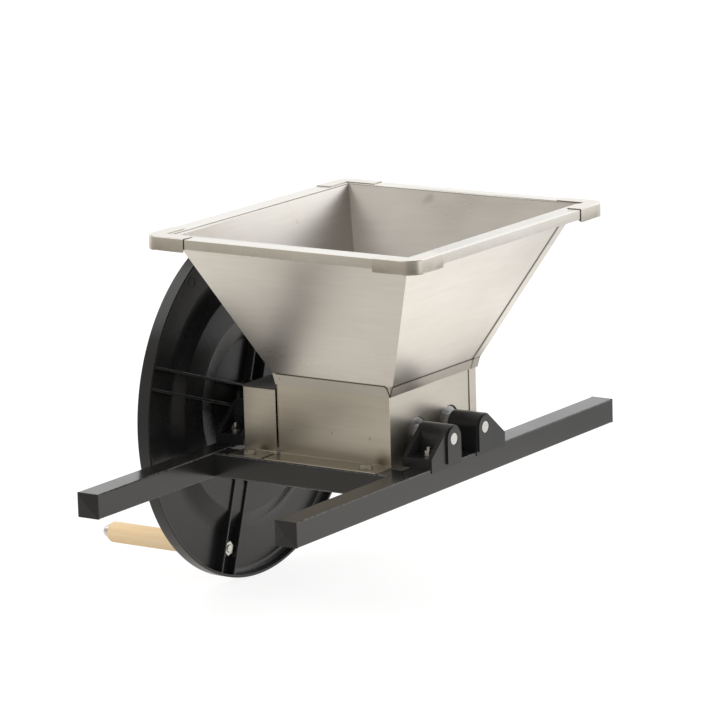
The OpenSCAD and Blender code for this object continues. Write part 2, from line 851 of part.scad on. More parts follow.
module toothed_ring() {
    step = 360 / ring_teeth;
    polygon([
        for (i = [0 : ring_teeth - 1], p = tooth_outline_shares)
            let (a = (i + p[0]) * step, r = root_radius + p[1] * tooth_depth)
                [r * cos(a), r * sin(a)]
    ]);
}

// Cross holes at the first and the last gap between rings
function pin_places(x0) = [x0 + ring_pitch - ring_gap - ring_width / 2, x0 + (ring_count - 1) * ring_pitch - ring_gap - ring_width / 2];

module roller(x0, hand) {
    difference() {
        union() {
            rod_x(roller_x0, roller_x1, core_radius);
            rod_x(gear_x1 + face_gap, block_in - face_gap, neck_radius);
            for (k = [0 : ring_count - 1])
                along_x(x0 + k * ring_pitch, x0 + k * ring_pitch + ring_width)
                    rotate(hand * k * 360 / ring_teeth / ring_count) mirror([hand > 0 ? 0 : 1, 0]) toothed_ring();
        }
        rod_x(gear_x1, block_in, shaft_radius + fit_gap);
        for (x = pin_places(x0)) translate([x, 0, -core_radius - overrun])
            cylinder(h = 2 * (core_radius + overrun), r = pin_radius + fit_gap);
    }
}

module roller_pins(x0) {
    for (x = pin_places(x0)) translate([x, 0, -core_radius + overrun / 2])
        cylinder(h = 2 * core_radius - overrun, r = pin_radius);
}

rear_rings_x0 = rings_x0 + ring_width + ring_gap;

module rear_roller() {
    color(alloy) at_rear_shaft() roller(rear_rings_x0, 1);
}

module front_roller() {
    color(alloy) at_front_shaft() roller(rings_x0, -1);
}

module rear_roller_pins() {
    color(zinc) at_rear_shaft() roller_pins(rear_rings_x0);
}

module front_roller_pins() {
    color(zinc) at_front_shaft() roller_pins(rings_x0);
}

// Gears with involute teeth

function involute_angle(r) = let (t = sqrt(max(r * r / (base_radius * base_radius) - 1, 0))) t * 180 / PI - atan(t);
// Half the angle that a tooth fills at the pitch circle, less its share of the backlash
tooth_half_angle = 90 / gear_teeth - backlash / 4 / pitch_radius * 180 / PI;
function half_angle_at(r) = tooth_half_angle + involute_angle(pitch_radius) - involute_angle(r);
flank_radii = [
    for (i = [0 : flank_steps])
        let (start = max(base_radius, gear_root_radius)) start + (gear_tip_radius - start) * i / flank_steps
];

module gear_outline() {
    polygon([
        for (i = [0 : gear_teeth - 1])
            let (
                a = i * 360 / gear_teeth,
                foot = half_angle_at(flank_radii[0]),
                rising = [for (r = flank_radii) [r, a - half_angle_at(r)]],
                falling = [for (k = [flank_steps : -1 : 0]) [flank_radii[k], a + half_angle_at(flank_radii[k])]]
            )
            for (p = concat([[gear_root_radius, a - foot]], rising, falling, [[gear_root_radius, a + foot]]))
                [p[0] * cos(p[1]), p[0] * sin(p[1])]
    ]);
}

module gear(turn) {
    web_r = gear_root_radius - gear_rim;
    difference() {
        union() {
            along_x(gear_face_x0, gear_face_x0 + gear_face) rotate(turn) gear_outline();
            rod_x(gear_x0, gear_x1, gear_hub_radius);
        }
        rod_x(gear_x0 - overrun, gear_x1 + overrun, shaft_radius + fit_gap);
        for (x = [gear_face_x0 - overrun, gear_face_x0 + gear_face - gear_recess])
            ring_x(x, x + gear_recess + overrun, web_r, gear_hub_radius);
        translate([gear_pin_x, 0, -gear_hub_radius - overrun])
            cylinder(h = 2 * (gear_hub_radius + overrun), r = pin_radius + fit_gap);
    }
}

module gear_pin() {
    translate([gear_pin_x, 0, -gear_hub_radius + overrun / 2])
        cylinder(h = 2 * gear_hub_radius - overrun, r = pin_radius);
}

module drive_gear() {
    color(alloy) at_rear_shaft() gear(180);
}

module driven_gear() {
    color(alloy) at_front_shaft() gear(180 / gear_teeth);
}

module drive_gear_pin() {
    color(zinc) at_rear_shaft() gear_pin();
}

module driven_gear_pin() {
    color(zinc) at_front_shaft() gear_pin();
}

module spacer_sleeve() {
    ring_x(-block_in + face_gap, gear_x0 - face_gap, sleeve_radius, shaft_radius + fit_gap);
}

module rear_spacer_sleeve() {
    color(zinc) at_rear_shaft() spacer_sleeve();
}

module front_spacer_sleeve() {
    color(zinc) at_front_shaft() spacer_sleeve();
}

// Shafts

module shaft_pin_holes(x0) {
    for (x = concat(pin_places(x0), [gear_pin_x])) translate([x, 0, -shaft_diameter])
        cylinder(h = 2 * shaft_diameter, r = pin_radius + fit_gap);
}

module front_shaft() {
    color(zinc) at_front_shaft() difference() {
        rod_x(-block_face + shaft_inset, block_face - shaft_inset, shaft_radius);
        shaft_pin_holes(rings_x0);
    }
}

hub_back_x = wheel_x + hub_back;
key_x0 = hub_back_x + key_inset;
key_x1 = wheel_x + hub_front - key_inset;

module rear_shaft() {
    color(zinc) at_rear_shaft() difference() {
        union() {
            rod_x(hub_back_x + shaft_shoulder, block_face - shaft_inset, shaft_radius);
            rod_x(hub_back_x - hub_washer_thickness - hub_nut_height - stub_tip, hub_back_x + shaft_radius, stub_radius);
        }
        shaft_pin_holes(rear_rings_x0);
        block(
            [key_x0 - fit_gap, -key_size / 2 - fit_gap, shaft_radius - key_size / 2 - fit_gap],
            [key_x1 + fit_gap, key_size / 2 + fit_gap, shaft_diameter]
        );
    }
}

module flywheel_key() {
    color(zinc) at_rear_shaft() block(
        [key_x0, -key_size / 2, shaft_radius - key_size / 2],
        [key_x1, key_size / 2, shaft_radius + key_size / 2]
    );
}

module hub_spacer() {
    color(zinc) at_rear_shaft()
        ring_x(wheel_x + hub_front, -block_face - face_gap, neck_radius, shaft_radius + fit_gap);
}

module hub_washer() {
    color(zinc) at_rear_shaft() ring_x(
        hub_back_x - hub_washer_thickness, hub_back_x,
        2 * stub_radius * washer_share, stub_radius + fit_gap
    );
}

module hub_nut() {
    color(zinc) at_rear_shaft() translate([hub_back_x - hub_washer_thickness, 0, 0])
        rotate([0, -90, 0]) hex_nut(hub_nut_height, stub_radius);
}

// Flywheel, drawn as radius and distance from the lip's plane

module wheel_profile() {
    wall = wheel_radius - lip_thickness;
    fillet_x = wall - floor_fillet;
    fillet_z = wheel_floor + floor_fillet;
    bore = shaft_radius + fit_gap;
    polygon(concat(
        [[bore, hub_front], [wheel_hub_radius - lip_round, hub_front], [wheel_hub_radius, hub_front - lip_round]],
        arc(wheel_hub_radius + floor_fillet, dish_floor + floor_fillet, floor_fillet, 180, 270, 4),
        [
            [ring_inner - dish_slope, dish_floor], [ring_inner - ring_bevel, ring_top - ring_bevel / 3], [ring_inner, ring_top],
            [ring_outer, ring_top], [ring_outer + ring_slope, wheel_floor]
        ],
        arc(fillet_x, fillet_z, floor_fillet, 270, 360, 5),
        [
            [wall, -lip_round], [wall + lip_round, 0], [wheel_radius - lip_round, 0], [wheel_radius, -lip_round],
            [wheel_radius, wheel_back + 2 * lip_round], [wheel_radius - 2 * lip_round, wheel_back],
            [ring_outer + ring_slope - back_ease, wheel_back], [ring_outer - back_ease, ring_top - wheel_web],
            [ring_inner + back_ease, ring_top - wheel_web], [ring_inner - dish_slope, dish_floor - wheel_web],
            [wheel_hub_radius + hub_ease, dish_floor - wheel_web],
            [wheel_hub_radius, dish_floor - wheel_web - hub_ease / 3],
            [wheel_hub_radius, hub_back + lip_round], [wheel_hub_radius - lip_round, hub_back], [bore, hub_back]
        ]
    ));
}

// A rib from the hub to the rim band, seen along its thickness, standing on the middle of the web
module rib_outline() {
    under = -wheel_web / 2;
    polygon([
        [wheel_hub_radius / 2, rib_edge], [wheel_hub_radius / 2, dish_floor + under],
        [ring_inner - dish_slope, dish_floor + under], [ring_inner - ring_bevel, ring_top - ring_bevel / 3 + under],
        [ring_inner, ring_top + under], [ring_outer, ring_top + under],
        [ring_outer + ring_slope, wheel_floor + under],
        [wheel_radius - lip_thickness / 2, wheel_floor + under], [wheel_radius - lip_thickness / 2, rib_edge]
    ]);
}

module wheel_ribs() {
    for (k = [0 : spokes - 1], side = [-1, 1]) rotate([k * 360 / spokes, 0, 0])
        translate([0, side * rib_spacing / 2 + rib_thickness / 2, 0])
            rotate([90, 0, 0]) linear_extrude(rib_thickness) mirror([1, 0]) rotate(90) rib_outline();
}

// Places on the crank's axis, from the wheel's centre, with the crank straight down
module at_crank() {
    translate([wheel_x, rear_y, shaft_z]) rotate([-crank_angle, 0, 0]) translate([0, 0, -crank_radius]) children();
}

module flywheel() {
    color(black) difference() {
        union() {
            translate([wheel_x, rear_y, shaft_z]) rotate([-crank_angle, 0, 0]) {
                turned_x() wheel_profile();
                wheel_ribs();
            }
            at_crank() rod_x(wheel_floor - wheel_web / 2, inner_seat, inner_boss_radius);
            at_crank() rod_x(outer_seat, wheel_floor - wheel_web / 2, outer_boss_radius);
        }
        at_crank() rod_x(outer_seat - overrun, inner_seat + overrun, crank_bolt_radius + fit_gap);
        at_rear_shaft() rod_x(hub_back_x - overrun, wheel_x + hub_front + overrun, shaft_radius + fit_gap);
        at_rear_shaft() block(
            [hub_back_x - overrun, -key_size / 2 - fit_gap, 0],
            [wheel_x + hub_front + overrun, key_size / 2 + fit_gap, shaft_radius + key_size / 2 + fit_gap]
        );
    }
}

// Crank handle

module crank_bolt() {
    color(zinc) at_crank() {
        rod_x(dome_start - dome_collar, inner_nut_end + bolt_tip - overrun, crank_bolt_radius);
        translate([inner_nut_end + bolt_tip - overrun, 0, 0]) rotate([0, 90, 0])
            cylinder(h = overrun, r1 = crank_bolt_radius, r2 = crank_bolt_radius - overrun / 2);
    }
}

module crank_washers() {
    color(zinc) at_crank()
        for (x = [inner_seat, outer_seat - washer_thickness, outer_nut_end - washer_thickness, dome_start])
            translate([x, 0, 0]) rotate([0, 90, 0]) washer(washer_thickness, crank_bolt_radius);
}

module crank_nuts() {
    color(zinc) at_crank() {
        translate([inner_seat + washer_thickness, 0, 0]) rotate([0, 90, 0])
            hex_nut(thin_nut_height, crank_bolt_radius);
        translate([outer_nut_end, 0, 0]) rotate([0, 90, 0]) hex_nut(crank_nut_height, crank_bolt_radius);
    }
}

module crank_dome_nut() {
    bore = crank_bolt_radius + fit_gap;
    color(zinc) at_crank() turned_x() polygon(concat(
        [[bore, dome_start], [bore, dome_start - dome_collar - fit_gap], [0, dome_start - dome_collar - fit_gap]],
        arc(0, dome_start - dome_collar, dome_radius, 270, 360, 8),
        [[dome_radius, dome_start]]
    ));
}

module wooden_grip() {
    r = grip_diameter / 2;
    bore = crank_bolt_radius + fit_gap;
    color(wood) at_crank() turned_x() polygon(concat(
        [[bore, grip_end]],
        arc(r - grip_round, grip_end + grip_round, grip_round, 270, 360, 6),
        arc(r - grip_round, grip_start - grip_round, grip_round, 0, 90, 6),
        [[bore, grip_start]]
    ));
}

left_rail();
right_rail();
rail_end_plugs();
front_cross_tube();
rear_cross_tube();
front_right_block();
rear_right_block();
front_left_block();
rear_left_block();
block_bolts();
block_washers();
block_nuts();
box_front_right_sheet();
box_rear_left_sheet();
gear_guard();
gear_cover_plate();
flange_bolts();
flange_washers();
hopper_front_right_sheet();
hopper_rear_left_sheet();
front_rim_rail();
rear_rim_rail();
left_rim_rail();
right_rim_rail();
rim_corner_caps();
rear_shaft();
rear_roller();
rear_roller_pins();
drive_gear();
drive_gear_pin();
rear_spacer_sleeve();
hub_spacer();
flywheel();
flywheel_key();
hub_washer();
hub_nut();
crank_bolt();
crank_washers();
crank_nuts();
crank_dome_nut();
wooden_grip();
front_shaft();
front_roller();
front_roller_pins();
driven_gear();
driven_gear_pin();
front_spacer_sleeve();
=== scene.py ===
# %% [markdown]
# # A hand-cranked fruit crusher
# The crusher lies across a tub on two black rails. A stainless hopper feeds two toothed rollers, and a black
# flywheel with a wooden grip turns them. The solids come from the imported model, already in metres and in
# their right places. This script gives them rounded edges, real finishes, light and a camera.

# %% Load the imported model
import bpy
import bmesh
import json
import math
from mathutils import Matrix, Vector


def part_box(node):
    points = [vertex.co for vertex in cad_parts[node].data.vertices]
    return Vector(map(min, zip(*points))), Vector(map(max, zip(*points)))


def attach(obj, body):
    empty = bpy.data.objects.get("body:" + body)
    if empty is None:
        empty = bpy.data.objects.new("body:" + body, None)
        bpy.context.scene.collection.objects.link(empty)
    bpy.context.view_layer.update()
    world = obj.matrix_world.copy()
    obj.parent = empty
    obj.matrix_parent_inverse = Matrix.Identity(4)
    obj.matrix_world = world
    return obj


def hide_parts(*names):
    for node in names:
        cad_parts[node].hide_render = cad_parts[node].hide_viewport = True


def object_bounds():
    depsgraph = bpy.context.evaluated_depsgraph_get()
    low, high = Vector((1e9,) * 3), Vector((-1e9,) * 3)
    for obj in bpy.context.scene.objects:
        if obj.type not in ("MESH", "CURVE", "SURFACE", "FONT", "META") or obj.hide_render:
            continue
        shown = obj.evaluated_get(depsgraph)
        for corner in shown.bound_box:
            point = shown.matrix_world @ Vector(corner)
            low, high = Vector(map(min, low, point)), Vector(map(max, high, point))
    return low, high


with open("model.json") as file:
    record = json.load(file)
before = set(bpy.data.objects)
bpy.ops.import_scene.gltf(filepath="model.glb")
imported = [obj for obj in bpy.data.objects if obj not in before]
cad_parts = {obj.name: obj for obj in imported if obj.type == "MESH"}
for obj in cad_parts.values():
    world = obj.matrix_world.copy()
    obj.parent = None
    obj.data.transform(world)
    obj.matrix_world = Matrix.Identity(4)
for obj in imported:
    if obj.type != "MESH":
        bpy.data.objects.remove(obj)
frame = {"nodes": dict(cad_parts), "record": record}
NODES = frame["nodes"]
BODY_OF = {node: body for body, nodes in frame["record"]["behaviour"]["bodies"].items() for node in nodes}
SLOT_OF = {part["node"]: part["material_slot"] for part in frame["record"]["subparts"]}
CAD_BOX = [list(corner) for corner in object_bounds()]
MM = 0.001
scene = bpy.context.scene
scene.view_settings.view_transform = "Standard"


def span(points):
    return [Vector([pick(point[axis] for point in points) for axis in range(3)]) for pick in (min, max)]


print("solids:", len(NODES), "box:", [[round(v, 4) for v in corner] for corner in CAD_BOX])

# %% [markdown]
# ## The camera
# A photograph's camera can be worked out from known sizes in it. Here the square tubes, the round wheel and
# the level rim gave where the camera stood and which way it looked. A long lens from five metres away keeps
# the rails nearly parallel, as in a catalogue picture.

# %% Camera
def in_scene(name, data):
    made = bpy.data.objects.new(name, data)
    scene.collection.objects.link(made)
    return made


CAMERA_AT = Vector((2.93205, -4.2992, 1.27216))
AZIMUTH, ELEVATION, ROLL = math.radians(34.264), math.radians(12.369), math.radians(-1.708)
FOCAL_PIXELS, PICTURE_PIXELS = 4424.2, 720
back = Vector((
    math.sin(AZIMUTH) * math.cos(ELEVATION),
    -math.cos(AZIMUTH) * math.cos(ELEVATION),
    math.sin(ELEVATION)))
level_right = Vector((math.cos(AZIMUTH), math.sin(AZIMUTH), 0))
level_up = back.cross(level_right)
right = math.cos(ROLL) * level_right + math.sin(ROLL) * level_up
up = -math.sin(ROLL) * level_right + math.cos(ROLL) * level_up
lens = bpy.data.cameras.new("camera")
lens.sensor_width = 36
lens.lens = 36 * FOCAL_PIXELS / PICTURE_PIXELS
lens.clip_start, lens.clip_end = 0.1, 60
camera = in_scene("camera", lens)
camera.matrix_world = Matrix.Translation(CAMERA_AT) @ Matrix((right, up, back)).transposed().to_4x4()
scene.camera = camera
print("lens:", round(lens.lens, 1), "mm")

# %% [markdown]
# ## Small tools for materials
# A material is a chain of nodes. A few helpers keep that short: one adds a node and sets its values, one
# joins two sockets, and the others mix two colours, stretch a value to a new range, or split a point into
# its X, Y and Z. A colour is three numbers here, and the helpers add the fourth that a socket wants.

# %% Node helpers
def add(tree, kind, values=(), **settings):
    node = tree.nodes.new(kind)
    for key, value in settings.items():
        setattr(node, key, value)
    for key, value in dict(values).items():
        node.inputs[key].default_value = value
    return node


def join(tree, start, end):
    tree.links.new(start, end)


def put(tree, value, socket):
    if isinstance(value, bpy.types.NodeSocket):
        tree.links.new(value, socket)
    else:
        socket.default_value = value


def mixed(tree, factor, a, b):
    node = add(tree, "ShaderNodeMix", data_type="RGBA", blend_type="MIX")
    put(tree, factor, node.inputs[0])
    put(tree, a, node.inputs[6])
    put(tree, b, node.inputs[7])
    return node.outputs[2]


def ranged(tree, value, low, high, to_low=0.0, to_high=1.0, smooth=False):
    node = add(tree, "ShaderNodeMapRange", {1: low, 2: high, 3: to_low, 4: to_high})
    if smooth:
        node.interpolation_type = "SMOOTHSTEP"
    join(tree, value, node.inputs[0])
    return node.outputs[0]


def maths(tree, operation, a, b=0.0):
    node = add(tree, "ShaderNodeMath", operation=operation)
    put(tree, a, node.inputs[0])
    put(tree, b, node.inputs[1])
    return node.outputs[0]


def split(tree, point):
    node = add(tree, "ShaderNodeSeparateXYZ")
    join(tree, point, node.inputs[0])
    return node.outputs


def times(colour, share):
    return (*[c * share for c in colour], 1)


def tinted(tree, base, mask, strength, colour):
    return mixed(tree, maths(tree, "MULTIPLY", mask, strength), base, (*colour, 1))


def new_material(name, colour, metallic, roughness):
    material = bpy.data.materials.new(name)
    material.use_nodes = True
    material.diffuse_color = (*colour, 1)
    tree = material.node_tree
    shader = tree.nodes["Principled BSDF"]
    shader.inputs["Base Color"].default_value = (*colour, 1)
    shader.inputs["Metallic"].default_value = metallic
    shader.inputs["Roughness"].default_value = roughness
    where = add(tree, "ShaderNodeTexCoord").outputs["Object"]
    return material, tree, shader, where


print("helpers for materials are ready")

# %% [markdown]
# ## Grain, and wear with painted highlight, as groups
# Brushed steel, powder paint, moulded plastic and wood all have a fine grain, stretched along one direction
# or the same in all. One group with named inputs makes the grain for each of them. A second group decides
# where an edge is paler, as wear and as a painted highlight: each piece below marks its rounded edges with
# an attribute, and noise breaks the mark up, so that no edge is evenly bright.

# %% Grain, and wear-and-highlight groups
def new_group(name, inputs):
    tree = bpy.data.node_groups.new(name, "ShaderNodeTree")
    for label, kind in inputs:
        tree.interface.new_socket(label, in_out="INPUT", socket_type="NodeSocket" + kind)
    tree.interface.new_socket("Mask", in_out="OUTPUT", socket_type="NodeSocketFloat")
    return tree, add(tree, "NodeGroupInput").outputs, add(tree, "NodeGroupOutput").inputs["Mask"]


def build_grain_group():
    tree, given, mask = new_group("grain", [
        ("Where", "Vector"), ("Fineness", "Vector"), ("Detail", "Float"), ("Sharpness", "Float")])
    scale = add(tree, "ShaderNodeVectorMath", operation="MULTIPLY")
    join(tree, given["Where"], scale.inputs[0])
    join(tree, given["Fineness"], scale.inputs[1])
    noise = add(tree, "ShaderNodeTexNoise", {"Scale": 1.0, "Roughness": 0.6})
    join(tree, scale.outputs[0], noise.inputs["Vector"])
    join(tree, given["Detail"], noise.inputs["Detail"])
    stretch = add(tree, "ShaderNodeMapRange")
    join(tree, noise.outputs["Fac"], stretch.inputs[0])
    join(tree, maths(tree, "SUBTRACT", 0.5, given["Sharpness"]), stretch.inputs[1])
    join(tree, maths(tree, "ADD", 0.5, given["Sharpness"]), stretch.inputs[2])
    join(tree, stretch.outputs[0], mask)
    return tree


def build_wear_highlight_group():
    tree, given, mask = new_group("edge_wear_and_highlight", [
        ("Edge", "Float"), ("Where", "Vector"), ("Fineness", "Float")])
    noise = add(tree, "ShaderNodeTexNoise", {"Detail": 3.0, "Roughness": 0.6})
    join(tree, given["Where"], noise.inputs["Vector"])
    join(tree, given["Fineness"], noise.inputs["Scale"])
    join(tree, maths(tree, "MULTIPLY", ranged(tree, noise.outputs["Fac"], 0.38, 0.62), given["Edge"]), mask)
    return tree


GRAIN, WEAR_HIGHLIGHT = build_grain_group(), build_wear_highlight_group()
print("groups:", GRAIN.name, WEAR_HIGHLIGHT.name)

# %% [markdown]
# A third group makes one soft round spot, for weld marks and stains, and a fourth one a thin line between two
# points, for the painted shade along a fold or a seam.

# %% Spot and shade-line groups
def faded(tree, value, full, none):
    fade = add(tree, "ShaderNodeMapRange", {3: 1.0, 4: 0.0}, interpolation_type="SMOOTHSTEP")
    for start, socket in zip((value, full, none), fade.inputs):
        join(tree, start, socket)
    return fade.outputs[0]


def build_spot_group():
    tree, given, mask = new_group("spot", [
        ("Where", "Vector"), ("Centre", "Vector"), ("Radius", "Float"), ("Edge", "Float")])
    apart = add(tree, "ShaderNodeVectorMath", operation="DISTANCE")
    join(tree, given["Where"], apart.inputs[0])
    join(tree, given["Centre"], apart.inputs[1])
    full = maths(tree, "SUBTRACT", given["Radius"], given["Edge"])
    join(tree, faded(tree, apart.outputs["Value"], full, given["Radius"]), mask)
    return tree


def build_shade_line_group():
    tree, given, mask = new_group("shade_line", [
        ("Where", "Vector"), ("Start", "Vector"), ("Along", "Vector"), ("Half", "Float")])
    offset, reach, size, foot, rest = [
        add(tree, "ShaderNodeVectorMath", operation=operation)
        for operation in ("SUBTRACT", "DOT_PRODUCT", "DOT_PRODUCT", "SCALE", "DISTANCE")]
    join(tree, given["Where"], offset.inputs[0])
    join(tree, given["Start"], offset.inputs[1])
    join(tree, offset.outputs[0], reach.inputs[0])
    join(tree, given["Along"], reach.inputs[1])
    join(tree, given["Along"], size.inputs[0])
    join(tree, given["Along"], size.inputs[1])
    share = add(tree, "ShaderNodeClamp")
    join(tree, maths(tree, "DIVIDE", reach.outputs["Value"], size.outputs["Value"]), share.inputs[0])
    join(tree, given["Along"], foot.inputs[0])
    join(tree, share.outputs[0], foot.inputs["Scale"])
    join(tree, offset.outputs[0], rest.inputs[0])
    join(tree, foot.outputs[0], rest.inputs[1])
    full, none = [maths(tree, "MULTIPLY", given["Half"], times_half) for times_half in (0.4, 1.8)]
    join(tree, faded(tree, rest.outputs["Value"], full, none), mask)
    return tree


SPOT, SHADE_LINE_GROUP = build_spot_group(), build_shade_line_group()
print("groups:", SPOT.name, SHADE_LINE_GROUP.name)

# %% [markdown]
# Each group gets a short call that places it in a material, sets its inputs and returns its mask.

# %% Calls for the groups
def masked(tree, group, where, values):
    node = add(tree, "ShaderNodeGroup", {}, node_tree=group)
    join(tree, where, node.inputs["Where"])
    for label, value in values.items():
        node.inputs[label].default_value = value
    return node


def grain(tree, where, fineness, detail=3.0, sharpness=0.3):
    values = {"Fineness": fineness, "Detail": detail, "Sharpness": sharpness}
    return masked(tree, GRAIN, where, values).outputs["Mask"]


def worn_and_highlit(tree, where, fineness):
    node = masked(tree, WEAR_HIGHLIGHT, where, {"Fineness": fineness})
    join(tree, add(tree, "ShaderNodeAttribute", attribute_name="edge").outputs["Fac"], node.inputs["Edge"])
    return node.outputs["Mask"]


def spot(tree, where, centre, radius, edge):
    values = {"Centre": [v * MM for v in centre], "Radius": radius * MM, "Edge": edge * MM}
    return masked(tree, SPOT, where, values).outputs["Mask"]


def shade_line(tree, where, start, end, half):
    along = [(b - a) * MM for a, b in zip(start, end)]
    values = {"Start": [v * MM for v in start], "Along": along, "Half": half * MM}
    return masked(tree, SHADE_LINE_GROUP, where, values).outputs["Mask"]


def finished(tree, shader, base, gloss, height, strength, distance=0.0001):
    join(tree, base, shader.inputs["Base Color"])
    join(tree, gloss, shader.inputs["Roughness"])
    bump = add(tree, "ShaderNodeBump", {"Strength": strength, "Distance": distance})
    join(tree, height, bump.inputs["Height"])
    join(tree, bump.outputs[0], shader.inputs["Normal"])


print("calls for", len(bpy.data.node_groups), "groups are ready")

# %% [markdown]
# ## Marks on the steel
# The folded walls show small weld spots and a few brownish stains. Painted shade darkens them towards the
# flange, on the skirts below the fold, and in thin lines along folds and a seam. All places are in millimetres.

# %% Places and colours of the marks
# Weld spots: centre and radius
WELD_SPOTS = [
    ((-34.0, -94.5, 61.0), 1.9), ((23.5, -94.5, 63.0), 1.9), ((78.0, -94.5, 62.0), 2.2),
    ((-49.0, -95.3, 122.0), 1.7), ((109.3, -30.0, 121.0), 1.7),
]
# Stains: centre, radius and strength
STAINS = [
    ((-67.0, -94.5, 41.0), 15.0, 0.4), ((96.0, -94.5, 40.0), 16.0, 0.4),
    ((-40.0, -94.5, 70.0), 45.0, 0.25), ((-8.8, 181.2, 298.4), 10.0, 0.3),
    ((-15.0, 180.0, 294.0), 7.0, 0.2), ((-121.6, 55.6, 280.8), 4.0, 0.25),
]
FOLD, SKIRT_FLARE = 128.0, 4.2
# Painted shade on the skirt below the fold grows across these X values, strongest on the right side
SKIRT_SHADE_FROM, SKIRT_SHADE_TO = 108.8, 109.6
# Painted shade near the flange: full at the first height, gone at the second
FLANGE_SHADE_LOW, FLANGE_SHADE_HIGH = 31.0, 75.0
# Lines of painted shade on the hopper, along the folds and the rear-right seam: each is a start, an end, and
# half its width
CREASE_SHADE_LINES = [
    ((-54.0, -95.1, FOLD), (102.0, -95.1, FOLD), 0.85),
    ((102.0, -95.1, FOLD), (105.0, -95.1, 125.5), 0.85),
    ((105.0, -95.1, 125.5), (109.2, -95.1, 115.5), 0.85),
    ((109.2, -95.1, 115.5), (113.4, -95.1, FOLD), 0.8),
    ((113.4, -95.1, FOLD), (113.4, 95.1, FOLD), 1.0),
    ((113.1, 78.6, FOLD), (200.8, 169.5, 305.9), 1.35),
]
# Painted shade for the lines along the folds, and painted shadow for the open cap seams
CREASE_SHADE, SEAM_SHADOW = (0.045, 0.035, 0.025), (0.03, 0.025, 0.02)
# Painted shade for the skirt and near the flange, and the rim's darker lower tone
SKIRT_SHADE, RIM_LOWER_TONE, FLANGE_SHADE = (0.30, 0.27, 0.235), (0.34, 0.30, 0.25), (0.30, 0.27, 0.22)
# Stains and weld spots are real; the pale edge colour is wear and a painted highlight
STAIN_BROWN, WELD_BROWN, BARE_EDGE_HIGHLIGHT = (0.30, 0.22, 0.15), (0.20, 0.17, 0.14), (0.90, 0.89, 0.86)
print("weld spots:", len(WELD_SPOTS), "stains:", len(STAINS), "lines:", len(CREASE_SHADE_LINES))

# %% [markdown]
# Each mark is laid over the colour below it, by its mask and its strength.

# %% Laying the marks on
def fold_shades(tree, where, base):
    level = split(tree, where)
    # Painted shade: the skirt below the fold is darker, the right side most
    below_fold_shade = ranged(tree, level["Z"], (FOLD - 0.4) * MM, (FOLD + 0.4) * MM, 1, 0)
    skirt_shade_share = ranged(tree, level["X"], SKIRT_SHADE_FROM * MM, SKIRT_SHADE_TO * MM, 0.34, 0.70)
    base = tinted(tree, base, below_fold_shade, skirt_shade_share, SKIRT_SHADE)
    # Painted shade along the folds and in the rear-right seam
    for start, end, half in CREASE_SHADE_LINES:
        base = tinted(tree, base, shade_line(tree, where, start, end, half), 0.93, CREASE_SHADE)
    return base


def marked(tree, where, base):
    # Painted shade: the steel gets darker towards the flange
    low_shade_mask = ranged(tree, split(tree, where)["Z"], FLANGE_SHADE_LOW * MM, FLANGE_SHADE_HIGH * MM, 0.50, 0, True)
    base = mixed(tree, low_shade_mask, base, (*FLANGE_SHADE, 1))
    for centre, radius, strength in STAINS:
        base = tinted(tree, base, spot(tree, where, centre, radius, radius), strength, STAIN_BROWN)
    for centre, radius in WELD_SPOTS:
        base = tinted(tree, base, spot(tree, where, centre, radius, 1.2), 0.5, WELD_BROWN)
    return base


def rim_tones_and_seam_shadows(tree, where, base, top, depth, lower_tone, seam_shadows):
    # The upright faces get darker towards their lower edge, with blotches over them
    upright = maths(tree, "MULTIPLY", ranged(tree, split(tree, where)["Z"], top - depth, top, 1, 0), lower_tone)
    blotch = ranged(tree, grain(tree, where, (45, 45, 90), 4.0, 0.22), 0, 1, 0.45, 1.25)
    base = tinted(tree, base, upright, blotch, RIM_LOWER_TONE)
    # Painted shadow in the open seams beside the caps
    for start, end, half in seam_shadows:
        base = tinted(tree, base, shade_line(tree, where, start, end, half), 0.92, SEAM_SHADOW)
    return base


print("marks can be laid on")

# %% [markdown]
# ## Stainless steel
# The sheets are brushed stainless. The brush lines run level round the hopper, with broader streaks among
# them. Real sheet is never even: it has soft cloudy patches where it was rolled and handled, so the colour and
# the gloss both vary slowly.

# %% Stainless steel
def make_stainless(name, colour, fineness, roughness, contrast=1.0, streaked=0.0, crease_shades=False, rim=()):
    material, tree, shader, where = new_material(name, colour, 1.0, roughness)
    lines = grain(tree, where, fineness, 2.0, 0.3)
    cloud = grain(tree, where, (6, 6, 9), 2.0, 0.25)
    dark = (colour[0] * 0.86, colour[1] * 0.85, colour[2] * 0.82, 1)
    light = tuple(min(1, c * 1.04) for c in colour) + (1,)
    base = mixed(tree, cloud, dark, light)
    base = mixed(tree, ranged(tree, lines, 0, 1, 0, 0.22 * contrast), base, times(colour, 0.72))
    if streaked:
        streaks = grain(tree, where, (14, 14, 190), 4.0, 0.24)
        base = mixed(tree, ranged(tree, streaks, 0, 1, 0, streaked), base, times(colour, 0.66))
    if crease_shades:
        base = fold_shades(tree, where, base)
    if streaked:
        base = marked(tree, where, base)
    if rim:
        base = rim_tones_and_seam_shadows(tree, where, base, *rim)
    # Paler edges, as wear and a painted highlight
    base = tinted(tree, base, worn_and_highlit(tree, where, 300), 0.30, BARE_EDGE_HIGHLIGHT)
    slow = ranged(tree, cloud, 0, 1, roughness - 0.04, roughness + 0.04)
    gloss = maths(tree, "ADD", slow, ranged(tree, lines, 0, 1, -0.03, 0.04))
    finished(tree, shader, base, gloss, lines, 0.02 * contrast)
    return material


BRUSHED = (30, 30, 2400)
